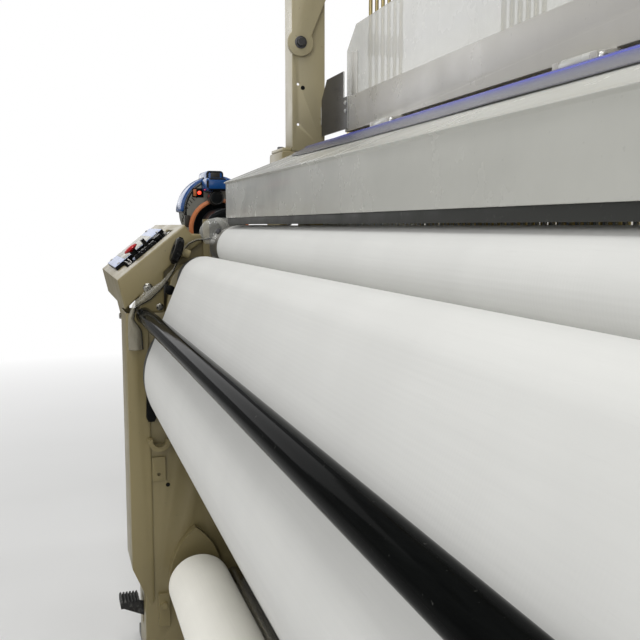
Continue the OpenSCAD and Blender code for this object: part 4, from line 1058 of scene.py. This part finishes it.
def grid_sheet(name, columns, rows, place, chart_size, thickness):
    """A grid whose point (u, v), each from 0 to 1, is set by a function, and its area in square metres."""
    deselect()
    bpy.ops.mesh.primitive_grid_add(x_subdivisions=columns, y_subdivisions=rows, size=1.0)
    piece = newest(name)
    shares = [(vertex.co.x + 0.5, vertex.co.y + 0.5) for vertex in piece.data.vertices]
    for vertex, (u, v) in zip(piece.data.vertices, shares):
        vertex.co = place(u, v)
    chart = piece.data.uv_layers.active
    for loop in piece.data.loops:
        u, v = shares[loop.vertex_index]
        chart.data[loop.index].uv = (u * chart_size[0], v * chart_size[1])
    area = sum(face.area for face in piece.data.polygons)
    add_wall(piece, thickness)
    smooth(piece, 50.0)
    return piece, area


class LOOM_OT_hood(bpy.types.Operator):
    """Lays the blue strip on the hood and adds the screws and films of the panels above it"""
    bl_idname = "loom.hood"
    bl_label = "Hood strip and panels"

    def execute(self, context):
        self.strip()
        # Painted shade: a dark strip under the hood's front edge stands for the shade beneath the hood.
        lip = block("hood_lip", mm(-925, -487, 1032.5), mm(925, -484, 1047.5), 0.8 * MM)
        finish(lip, "hood_lip", "hood", "belt_rubber", plastic("lip_rubber", (0.030, 0.031, 0.028), 0.5))
        self.panel(context.scene.loom_fittings.screw_head)
        caps = []
        for x in HINGE_X:
            for side in (-1, 1):
                caps.append(put(dome_screw(7 * MM), (x + side * 43.1 * MM, HOOD_HINGE.y, HOOD_HINGE.z),
                                (side, 0, 0)))
        finish(join("hinge_caps", caps), "hinge_caps", FIXED, "alloy")
        return {"FINISHED"}

    def strip(self):
        """The strip over the hinge side of the hood's slope, narrower at its left end."""
        low, high = span("hood_seal_strip", "x")
        start, bead = mm(80, 118)
        bead_width, bead_height = mm(5, 3)
        clearance, lift_height, taper_run = mm(1.3, 1.6, 170)
        left_share = 0.40

        def place(u, v):
            x = low + u * (high - low)
            taper = 1.0 - math.exp(-(x - low) / taper_run)
            up = start + SEAL_WIDTH * (1.0 - (1.0 - v) * (left_share + (1.0 - left_share) * taper))
            wave = math.sin(x * 9.0) * 0.5 + math.sin(x * 23.0 + v * 2.0) * 0.3
            lift = clearance + lift_height * (1.0 - v) * (1.0 + wave) * 0.5
            ridge = math.exp(-((up - start - bead) / bead_width) ** 2) * bead_height
            return Vector((x, 0.0, 0.0)) + HOOD_FOLD + SLOPE * up + SLOPE_NORMAL * (lift + ridge)

        strip, area = grid_sheet("blue_strip", 150, 26, place, (high - low, SEAL_WIDTH), 1.2 * MM)
        finish(strip, "blue_strip", "hood", "blue_vinyl")
        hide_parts("hood_seal_strip")

    def panel(self, radius):
        """Screws, smoked films and the bright rims of the guard's wings."""
        places = [((side * 843 * MM, PANEL_FACE - 3.3 * MM, z), FORWARD, z)
                  for side in (-1, 1) for z in mm(1288, 1271)]
        finish(copies("panel_screws", dome_screw(radius), places), "panel_screws", FIXED, "alloy")
        outline = [(835, 1234), (1004, 1234), (1004, 1315), (966, 1355), (857, 1355), (857, 1300),
                   (835, 1300)]
        films = []
        rims = []
        for side in (-1, 1):
            points = [mm(side * x, z) for x, z in outline[::side]]
            films.append(front_prism("film", points, PANEL_FACE - 3.5 * MM, 0.4 * MM))
            rims.append(block("rim", (side * 861.5 * MM - 15.5 * MM, GUARD_FACE - 4 * MM, 1301 * MM),
                              (side * 861.5 * MM + 15.5 * MM, GUARD_FACE - 0.2 * MM, 1399 * MM), 1.5 * MM))
        finish(join("smoked_films", films), "smoked_films", FIXED, "clear_guard",
               clear("smoked", (0.035, 0.035, 0.04), 0.72, 0.15, 0.5))
        finish(join("guard_rims", rims), "guard_rims", FIXED, "clear_guard",
               plastic("guard_rim", (0.62, 0.61, 0.57), 0.3))


# Operator box and its switches

DESK_LOW = Vector((0.0, -716 * MM, CLOTH_TOP - 119 * MM))
DESK_HIGH = Vector((0.0, -567 * MM, CLOTH_TOP + 2 * MM))
DESK_X = (span("operator_box", "x")[0] - FRAME_IN) / 2
DESK_UP = (DESK_HIGH - DESK_LOW).normalized()
DESK_NORMAL = Vector((0.0, -DESK_UP.z, DESK_UP.y))
DESK = Matrix.Translation((DESK_LOW + DESK_HIGH) / 2 + Vector((DESK_X, 0.0, 0.0))) @ Matrix((
    (1.0, 0.0, 0.0, 0.0), (0.0, DESK_UP.y, DESK_NORMAL.y, 0.0), (0.0, DESK_UP.z, DESK_NORMAL.z, 0.0),
    (0.0, 0.0, 0.0, 1.0)))

# Floor of the tray from the face of the desk, in millimetres
TRAY_FLOOR = -6


def on_desk(piece):
    """Takes a piece made round the origin to the middle of the desk, with +Y up the slope."""
    return moved(piece, DESK)


class LOOM_OT_controls(bpy.types.Operator):
    """Fits the switch tray, its clamps and buttons, and the bolts of the operator box"""
    bl_idname = "loom.controls"
    bl_label = "Switches"

    def execute(self, context):
        self.tray()
        self.clamps()
        self.mushrooms()
        self.bolts(-FRAME_IN)
        return {"FINISHED"}

    def tray(self):
        """The black lining of the tray, its row of terminals, and the plate on the lid."""
        lining = (("floor_of_tray", (81, -55, TRAY_FLOOR - 0.2), (184, 76, -5.2)),
                  ("wall_of_tray", (84.6, -55, -5.6), (86, 68, 9.2)),
                  ("wall_of_lid", (84.6, -77, 0.2), (86.2, -54, 9.2)),
                  ("terminal_bar", (153.4, -30.6, -5.6), (174.6, 30.6, 3.6)),
                  ("side_of_lid", (-166, -77.6, 0.2), (85.6, -76.6, 8.6)))
        tray = [block(name, mm(*low), mm(*high)) for name, low, high in lining]
        for k in range(6):
            y = -25 + k * 10
            tray.append(block("terminal", mm(152, y - 4, TRAY_FLOOR), mm(175, y + 4, 8), 1 * MM))
        collar = turned("collar", mm_all((0, 15), (3.8, 15), (4.6, 13.5)), 32)
        tray.append(put(collar, mm(126, -21, TRAY_FLOOR)))
        finish(on_desk(join("switch_tray", tray)), "switch_tray", FIXED, "black_plastic")
        label = block("lid_plate", mm(-160, -46, 9.6), mm(82, 38, 10.5), 0.3 * MM)
        finish(on_desk(label), "lid_plate", FIXED, "panel_steel",
               enamel("lid_grey", (0.27, 0.26, 0.21), 0.5, 0.3))

    def clamps(self):
        """Bars, clamps and bolts in the tray, and the screws of the lid."""
        clamps = [wire("bar", mm_all((88, y, 0), (92, y, 6), (150, y, 6), (154, y, 0)), 1.5 * MM)
                  for y in (-50, -42)]
        clamps += [block("clamp", mm(x - 4, -50, TRAY_FLOOR), mm(x + 4, -42, 0), 1 * MM) for x in (98, 138)]
        clamps += [put(hex_bolt(10 * MM), mm(x, 66, -5.2)) for x in (98, 160)]
        clamps += [put(dome_screw(4 * MM), mm(x, y, 10)) for x in (-152, 74) for y in (-64, 55)]
        finish(on_desk(join("tray_clamps", clamps)), "tray_clamps", FIXED, "alloy",
               steel("clamp_zinc", (0.40, 0.39, 0.36), 0.3, (1.0, 4.0, 4.0), 0.4))

    def mushrooms(self):
        """Stop buttons: a thin red head on a black stem, one on each desk."""
        below_middle = 11 * MM
        head_profile = mm_all((21, 6), (24, 11), (26, 16), (27.2, 18), (29, 18), (31.5, 15.5), (33.5, 9),
                              (34.5, 1))
        stem_profile = mm_all((-14, 5), (9, 5), (11, 8), (22, 8))
        for body, node in (("stop", "stop_button"), ("right_stop", "right_stop_button")):
            low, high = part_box(node)
            base = (low + high) / 2 - DESK_NORMAL * below_middle
            head = put(turned("head", head_profile, 40), base, DESK_NORMAL)
            finish(head, body + "_head", body, "red_plastic")
            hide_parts(node)
            stem = put(turned("stem", stem_profile, 24), base, DESK_NORMAL)
            finish(stem, body + "_stem", body, "black_plastic")

    def bolts(self, inner):
        """Bolts and the oval hole on the inner side of the box, and the bolt of its gusset."""
        dome = put(dome_screw(11 * MM), (inner, -650.5 * MM, 892.8 * MM), TO_RIGHT)
        second = put(hex_bolt(11 * MM), (inner, -625 * MM, 850 * MM), TO_RIGHT, 0.4)
        slanted = put(hex_bolt(13 * MM), mm(-1265, -688, 806), FORWARD, 0.2)
        finish(join("box_bolts", [dome, second, slanted]), "box_bolts", FIXED, "alloy",
               steel("worn_zinc", (0.30, 0.29, 0.26), 0.22, (1.0, 4.0, 4.0), 0.6))
        # Painted shade: the oval hole is a thin black disc standing for the dark inside the hole.
        hole = put(turned("oval", mm_all((0, 11), (0.5, 10)), 32), (inner, -602 * MM, 887 * MM), TO_RIGHT)
        finish(hole, "oval_hole", FIXED, "black_plastic")


# Clear covers

def line_at(points, share, ease=0.0):
    """The point at a share of a line of (y, z) points in millimetres; ease slows it near each one."""
    place = share * (len(points) - 1)
    k = min(int(place), len(points) - 2)
    part = place - k
    part = part * part * (3.0 - 2.0 * part) * ease + part * (1.0 - ease)
    (y0, z0), (y1, z1) = points[k], points[k + 1]
    return Vector(mm(y0 + (y1 - y0) * part, z0 + (z1 - z0) * part))


class LOOM_OT_covers(bpy.types.Operator):
    """Hangs the clear vinyl over the end of the guard tube and fits the clear cap at the roller's end"""
    bl_idname = "loom.covers"
    bl_label = "Clear covers"

    # Both edges of the vinyl as (y, z) in millimetres, from the roller down past the guard tube
    upper_edge = [(-512, 1004), (-543, 1000.5), (-560, 993.5), (-575, 978), (-589, 952), (-594, 937),
                  (-622, 907), (-658, 886), (-684, 860), (-695, 832), (-697, 797), (-696, 757)]
    lower_edge = [(-511, 1000.5), (-542, 997), (-557.5, 990), (-571.5, 975.5), (-585, 950), (-597, 924),
                  (-619, 894), (-646, 868), (-679, 850), (-684, 824), (-668, 800), (-665, 757)]

    def execute(self, context):
        self.vinyl()
        axis, _ = ring_of("breast_roller")
        self.cap(axis)
        self.necks(axis)
        nut_at = (-FRAME_IN + 11 * MM, -494 * MM, CLOTH_TOP - 13 * MM)
        finish(put(hex_bolt(9 * MM), nut_at, (1.0, -0.3, 0.0), 0.3), "cap_nut", FIXED, "dark_steel")
        outline = mm_all((-624, 905), (-624, 930), (-560, 1000), (-530, 1000), (-520, 985), (-514, 970),
                         (-514, 905))
        plate = side_prism("nose", outline, -FRAME_IN - 24 * MM, -FRAME_IN - 18 * MM)
        finish(plate, "nose_plate", FIXED, "frame_enamel")
        return {"FINISHED"}

    def vinyl(self):
        """A narrow folded band of vinyl that hangs from the roller over the guard tube."""
        face = -FRAME_IN + 2.6 * MM
        folds_from = 0.5

        def place(u, v):
            flat = line_at(self.upper_edge, u, 0.35).lerp(line_at(self.lower_edge, u, 0.35), v)
            bulge = max(0.0, u - folds_from) / (1.0 - folds_from)
            fold = math.sin(u * 24.0 + v * 5.0) * 0.9 + math.sin(u * 51.0 - v * 9.0) * 0.4
            out = 3.2 + fold * bulge + math.sin(v * math.pi) * bulge * 9
            return Vector((face + out * MM, flat.x, flat.y))

        vinyl, area = grid_sheet("draped_vinyl", 90, 16, place, (0.36, 0.04), 0.6 * MM)
        finish(vinyl, "draped_vinyl", FIXED, "clear_vinyl")
        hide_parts("vinyl_cover")
        rim = wire("vinyl_rim", [place(k / 60, 1.0) for k in range(61)], 1.1 * MM)
        finish(rim, "vinyl_rim", FIXED, "black_plastic")
        middle = [place(k / 90, 0.5) for k in range(91)]
        length = sum((end - start).length for start, end in zip(middle, middle[1:]))

    def cap(self, axis):
        """The clear moulded cap, drawn round the bare end of the roller, with its film and dark lip."""
        bare, lip = mm(42, 44)
        lowest, highest = math.radians(150.0), 1.2
        centre = (-499 * MM, CLOTH_TOP - 16 * MM)
        profile = mm_all((0.2, 34), (3, 34.4), (7, 33.4), (11, 30.5), (14, 27), (16.2, 22.5), (16.6, 18.5),
                         (15, 15), (13.4, 12.5), (13, 9), (13, 1))
        dome = turned("clear_cap", profile, 72)
        for vertex in dome.data.vertices:
            angle = math.atan2(vertex.co.y, vertex.co.x)
            dent = 1.0 + 0.035 * math.sin(3 * angle + 0.6) + 0.02 * math.sin(7 * angle)
            vertex.co.x *= dent
            vertex.co.y *= dent
            vertex.co.z *= 1.0 + 0.10 * math.sin(2 * angle + 1.1) + 0.04 * math.sin(5 * angle)
        along_x(dome, -FRAME_IN, centre)
        for vertex in dome.data.vertices:
            vertex.co.z = max(vertex.co.z, CLOTH_TOP - 41 * MM)
            away = Vector((vertex.co.y - axis[0], vertex.co.z - axis[1]))
            if away.length < bare:
                angle = min(max(math.atan2(away.y, away.x), highest), lowest)
                vertex.co.y, vertex.co.z = polar(axis, bare, angle)
        dome.data.update()
        top = [(-503, 1046), (-480, 1047), (-462, 1044), (-447, 1039), (-437, 1033)]
        low = [(-478, 1016), (-468, 1021.5), (-458, 1025.5), (-447, 1028), (-436, 1030)]

        def place(u, v):
            here = line_at(top, u).lerp(line_at(low, u), v)
            reach = 9 + 6 * math.sin(math.pi * v) * (1.0 - u) + 5 * u
            return Vector((-FRAME_IN + reach * MM, here.x, here.y))

        film, _ = grid_sheet("film", 40, 12, place, (0.07, 0.03), 0.5 * MM)
        cap = join("clear_cap", [dome, film])
        finish(cap, "clear_cap", FIXED, "clear_cup")
        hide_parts("roller_end_cap")
        edge = [(-519, 1002), (-508, 1001), (-499, 998)]
        rim = [Vector((-FRAME_IN + 6 * MM, *mm(y, z))) for y, z in edge]
        for k in range(9):
            y, z = polar(axis, lip, lowest - math.radians(9.0 * k + 12.0))
            rim.append(Vector((-FRAME_IN + (7 + k) * MM, y, z)))
        finish(wire("cap_rim", rim, 0.8 * MM), "cap_rim", FIXED, "black_plastic")

    def necks(self, axis):
        """The bare ends of the breast roller, in dark steel, outside the cloth."""
        shoulder, reach, grooves = 39, 139, 11
        profile = mm_all((0, 49.2), (shoulder, 49.4), (shoulder + 1, 48.6), (shoulder + 1.2, 40.5))
        for k in range(1, grooves):
            place = shoulder + (reach - shoulder) * k / grooves
            profile += mm_all((place - 1.5, 40.5), (place, 40.1), (place + 1.5, 40.5))
        profile += mm_all((reach - 3, 40.5), (reach, 38.0))
        neck = along_x(turned("roller_neck", profile, 64), CLOTH_HALF + 1 * MM, axis)
        finish(both_ends("roller_necks", neck), "roller_necks", frame["nodes"]["breast_roller"]["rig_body"],
               "dark_steel", steel("worn_neck", (0.16, 0.15, 0.125), 0.42, (1.0, 14.0, 14.0), 0.4, 0.4))


# Weft feeder

class LOOM_OT_feeder(bpy.types.Operator):
    """Clads the weft feeder in its blue hood and grey body, with its lamp, eye and vents"""
    bl_idname = "loom.feeder"
    bl_label = "Weft feeder"

    def execute(self, context):
        ring_low, ring_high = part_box("feeder_ring")
        centre = (ring_low + ring_high) / 2
        self.at = (ring_high.x - 6 * MM, centre.y, centre.z)
        self.shells()
        self.fittings()
        self.drum(ring_low.x)
        return {"FINISHED"}

    def spot(self, x, y, z):
        """A place in metres, from millimetres off the middle of the ring's face."""
        return tuple(start + step for start, step in zip(self.at, mm(x, y, z)))

    def box_here(self, name, low, high, edge, segments=2):
        return block(name, self.spot(*low), self.spot(*high), edge, segments)

    def turned_here(self, name, profile, steps, x, y=0, z=0):
        """A turned piece along X, whose foot is off the middle of the ring's face."""
        here = self.spot(x, y, z)
        return along_x(turned(name, mm_all(*profile), steps), here[0], here[1:])

    def shells(self):
        """The round grey body and the blue hood over it."""
        shell_z, hood_radius = 45, 96.5
        profile = [(0, 78), (6, 87.5), (104, 87.5), (108.6, 81), (108.6, 60)]
        body = self.turned_here("feeder_body", profile, 96, -130, 0, shell_z)
        finish(body, "feeder_body", FIXED, "feeder_black",
               plastic("feeder_grey", (0.21, 0.215, 0.19), 0.42))
        arc = [self.spot(0, hood_radius * math.cos(a), shell_z + hood_radius * math.sin(a))[1:]
               for a in [math.pi * k / 40 for k in range(41)]]
        dome = side_prism("dome", arc, self.spot(-122.5, 0, 0)[0], self.spot(-29.5, 0, 0)[0], 4 * MM, 3)
        hump = self.box_here("hump", (-108.5, -34.5, 98), (12.5, 11.5, 151.5), 8 * MM, 4)
        snout = self.box_here("snout", (-100, -40.5, 97.6), (48.5, 16.5, 131.5), 8 * MM, 4)
        finish(join("feeder_hood", [dome, hump, snout]), "feeder_hood", FIXED, "feeder_black",
               plastic("feeder_blue", (0.009, 0.068, 0.24), 0.14, 500.0, 0.4))

    def fittings(self):
        """The eye, window, slits, foot block, switch plate, rocker and lamp."""
        profile = [(0, 19.5), (26, 19.5), (30.5, 16), (28, 13), (28, 4)]
        eye = self.turned_here("eye", profile, 40, 14, -14, 80)
        vents = [eye, self.box_here("window", (11, -24, 131), (13.2, 1, 146), 1 * MM)]
        # Painted shade: each vent slit is a thin dark block on the shell, standing for the dark opening.
        for k in range(9):
            angle = math.radians(128.0 + 5.6 * k)
            slit = block("slit", mm(-5.5, -1.3, -0.2), mm(5.5, 1.3, 0.9), 0.4 * MM)
            at = self.spot(-22, 94 * math.cos(angle), 12 + 92 * math.sin(angle))
            vents.append(put(slit, at, TO_RIGHT, math.pi / 2 - angle))
        vents.append(self.box_here("foot_block", (-24, -88, 4), (-14, -74, 36), 2 * MM))
        finish(join("feeder_fittings", vents), "feeder_fittings", FIXED, "feeder_black",
               plastic("feeder_dark", (0.035, 0.032, 0.027), 0.35))
        rocker = self.box_here("rocker", (-22, -64, 86), (-18, -56, 104), 1 * MM)
        plate = self.box_here("plate", (-22, -67, 83), (-20.4, -37, 107), 0.6 * MM)
        finish(plate, "feeder_switch_plate", FIXED, "black_plastic")
        finish(rocker, "feeder_rocker", FIXED, "orange_plastic")
        lamp = put(dome_screw(5 * MM), self.spot(-21.4, -48, 95), TO_RIGHT)
        finish(lamp, "feeder_lamp", FIXED, "red_plastic", lamp_finish())

    def drum(self, ring_back):
        """The web behind the ring and the face of the drum."""
        rim = mm_all((0, 69.8), (6, 69.8), (6.5, 66), (5.4, 64), (5.4, 12.2))
        web = along_x(turned("ring_web", rim, 64), ring_back - 0.3 * MM, self.at[1:])
        profile = [(0, 54.4), (60, 53), (76, 51), (83.4, 44), (84, 22), (81.5, 18), (83.5, 8)]
        drum = self.turned_here("drum_face", profile, 64, 12)
        finish(web, "ring_web", "feeder", "feeder_black")
        finish(drum, "drum_face", FIXED, "feeder_black")


def lamp_finish():
    """A small red lamp that is lit."""
    graph = Graph("lamp_red")
    tone = graph.mix(graph.noise(300.0, 2.0), (0.9, 0.03, 0.02, 1.0), (1.0, 0.07, 0.03, 1.0))
    graph.wear(Base_Color=tone, Roughness=0.25, Emission_Color=(1.0, 0.05, 0.02, 1.0),
               Emission_Strength=2.2)
    return graph.material


# Fasteners and lamps of the rest of the loom

def on_rows(ys, zs):
    return [mm(y, z) for y in ys for z in zs]


def on_circle(x, centre, radius, count=6):
    """Places facing +X on a circle round (y, z)."""
    return [((x, *polar(centre, radius, angle)), TO_RIGHT, angle)
            for angle in [2 * math.pi * k / count for k in range(count)]]


class LOOM_OT_fasteners(bpy.types.Operator):
    """Puts in the bolts and screws of the columns, beam, shedding box and end cover"""
    bl_idname = "loom.fasteners"
    bl_label = "Bolts and screws"

    def execute(self, context):
        fittings = context.scene.loom_fittings
        across, head = fittings.bolt_across, fittings.screw_head
        self.columns(across)
        # Painted shade: thin black discs on the frames' inner faces stand for the dark inside of bores.
        dots = copies("bore_marks", turned("mark", mm_all((0, 5), (0.3, 4.8)), 20), [
            ((FRAME_IN, *mm(y, z)), TO_LEFT, 0.0) for y, z in
            ((-279, 1440), (-301, 1423), (-292, 1342), (-616, 442))])
        finish(both_ends("bore_marks", dots), "bore_marks", FIXED, "black_plastic")
        centre, _ = ring_of("warp_beam")
        ring = copies("beam_flange_bolt", hex_bolt(across),
                      on_circle(CLOTH_HALF + 12 * MM, centre, 72 * MM))
        finish(both_ends("beam_flange_bolts", ring), "beam_flange_bolts", "beam", "dark_steel")
        self.on_right_face("cover_screws", "right_end_cover", dome_screw(head),
                           on_rows((-670, -130, 400), (160, 420, 680)), "alloy")
        self.on_right_face("shedding_box_screws", "dobby_housing", socket_screw(head * 1.2),
                           on_rows((-170, -45, 75, 190), (1370, 1570, 1785, 2000)), "dark_steel")
        return {"FINISHED"}

    def columns(self, across):
        """The arm's pin bolt, and the bolts of the top beam and of the columns' feet."""
        arm = FRAME_IN - 12 * MM
        small = across * 0.8
        lug = put(hex_bolt(across), (arm, -300 * MM, CLOTH_TOP + 410 * MM), TO_LEFT, 0.2)
        beam = copies("beam_bolts", hex_bolt(small),
                      [((arm, y, z), TO_LEFT, 0.1 + 9 * z) for y, z in on_rows((-210, -90), (1775, 1830))])
        foot = copies("column_bolts", hex_bolt(small),
                      [((x * MM, y * MM, CLOTH_TOP + 178 * MM), UP, y) for x, y in
                       ((1094, -322), (1094, -216), (1030, -218))])
        finish(both_ends("column_bolts", join("column_bolt", [lug, beam, foot])), "column_bolts", FIXED,
               "dark_steel")

    def on_right_face(self, name, node, model, places, slot):
        """Copies of a screw on the right face of a node."""
        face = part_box(node)[1].x
        screws = copies(name, model, [((face, y, z), TO_RIGHT, y * 40) for y, z in places])
        finish(screws, name, FIXED, slot)


class LOOM_OT_signal(bpy.types.Operator):
    """Fits the coloured lenses of the signal light"""
    bl_idname = "loom.signal"
    bl_label = "Signal light"

    def execute(self, context):
        low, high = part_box("stack_light")
        x, y = (low.x + high.x) / 2, (low.y + high.y) / 2
        lowest, pitch, ridge_pitch = 109, 34, 4.4
        profile = mm_all((0.5, 19.2), (1.0, 20.4))
        for ridge in range(6):
            profile += mm_all((3.5 + ridge_pitch * ridge, 20.9), (5.6 + ridge_pitch * ridge, 20.3))
        profile += mm_all((29.0, 20.4), (29.5, 19.2))
        lenses = (("red", (0.50, 0.012, 0.010)), ("amber", (0.60, 0.22, 0.012)),
                  ("green", (0.010, 0.26, 0.06)), ("blue", (0.010, 0.07, 0.40)))
        for k, (name, colour) in enumerate(lenses):
            lens = put(turned("lens", profile, 40), (x, y, low.z + (lowest + pitch * (3 - k)) * MM))
            finish(lens, name + "_lens", FIXED, "black_plastic",
                   plastic(name + "_lens", colour, 0.16, 90.0))
        return {"FINISHED"}


# Fasteners, each standing on +Z at the origin

def hex_bolt(across):
    """A hexagon head with a chamfered top on a washer."""
    radius = across / math.sqrt(3.0)
    thick, base = across * 0.42, across * 0.1
    head = turned("head", [(base, radius), (base + thick * 0.82, radius), (base + thick, radius * 0.86)], 6)
    round_edges(head, across * 0.02, 1, 40.0)
    rim = across * 0.74
    washer = turned("washer", [(0.0, rim), (base * 0.7, rim), (base, across * 0.68)], 20)
    return join("bolt", [head, washer])


def socket_screw(radius):
    """A round head with a round socket."""
    tall = radius * 1.1
    return turned("screw", [(0.0, radius), (tall * 0.85, radius), (tall, radius * 0.88),
                            (tall, radius * 0.52), (tall * 0.45, radius * 0.50)], 12)


def dome_screw(radius):
    """A domed head with a shallow round recess in its middle."""
    tall = radius * 0.62
    return turned("dome", [(0.0, radius), (tall * 0.45, radius * 0.95), (tall * 0.8, radius * 0.72),
                           (tall, radius * 0.42), (tall * 0.98, radius * 0.22),
                           (tall * 0.6, radius * 0.12)], 20)


PIECES = [LOOM_OT_stage, LOOM_OT_frame, LOOM_OT_cloth, LOOM_OT_warp, LOOM_OT_hood, LOOM_OT_controls,
          LOOM_OT_covers, LOOM_OT_feeder, LOOM_OT_fasteners, LOOM_OT_signal]
SETTINGS = (("loom_stage", LoomStageSettings), ("loom_cloth", LoomClothSettings),
            ("loom_fittings", LoomFittingSettings))


class LOOM_PT_panel(bpy.types.Panel):
    """Lists the pieces of the loom in the order in which they are made"""
    bl_idname = "LOOM_PT_panel"
    bl_label = "Power loom"
    bl_space_type = "VIEW_3D"
    bl_region_type = "UI"
    bl_category = "Loom"

    def draw(self, context):
        for name, group in SETTINGS:
            box = self.layout.box()
            for field in group.__annotations__:
                box.prop(getattr(context.scene, name), field)
        for piece in PIECES:
            self.layout.operator(piece.bl_idname)


def register():
    for name, group in SETTINGS:
        bpy.utils.register_class(group)
        setattr(bpy.types.Scene, name, bpy.props.PointerProperty(type=group))
    for piece in PIECES:
        bpy.utils.register_class(piece)
    bpy.utils.register_class(LOOM_PT_panel)


def unregister():
    bpy.utils.unregister_class(LOOM_PT_panel)
    for piece in reversed(PIECES):
        bpy.utils.unregister_class(piece)
    for name, group in reversed(SETTINGS):
        delattr(bpy.types.Scene, name)
        bpy.utils.unregister_class(group)


def main():
    register()
    for piece in PIECES:
        family, operator = piece.bl_idname.split(".")
        if getattr(getattr(bpy.ops, family), operator)() != {"FINISHED"}:
            raise RuntimeError(f"{piece.bl_label} wasn't finished")
    deselect()


if __name__ == "__main__":
    main()
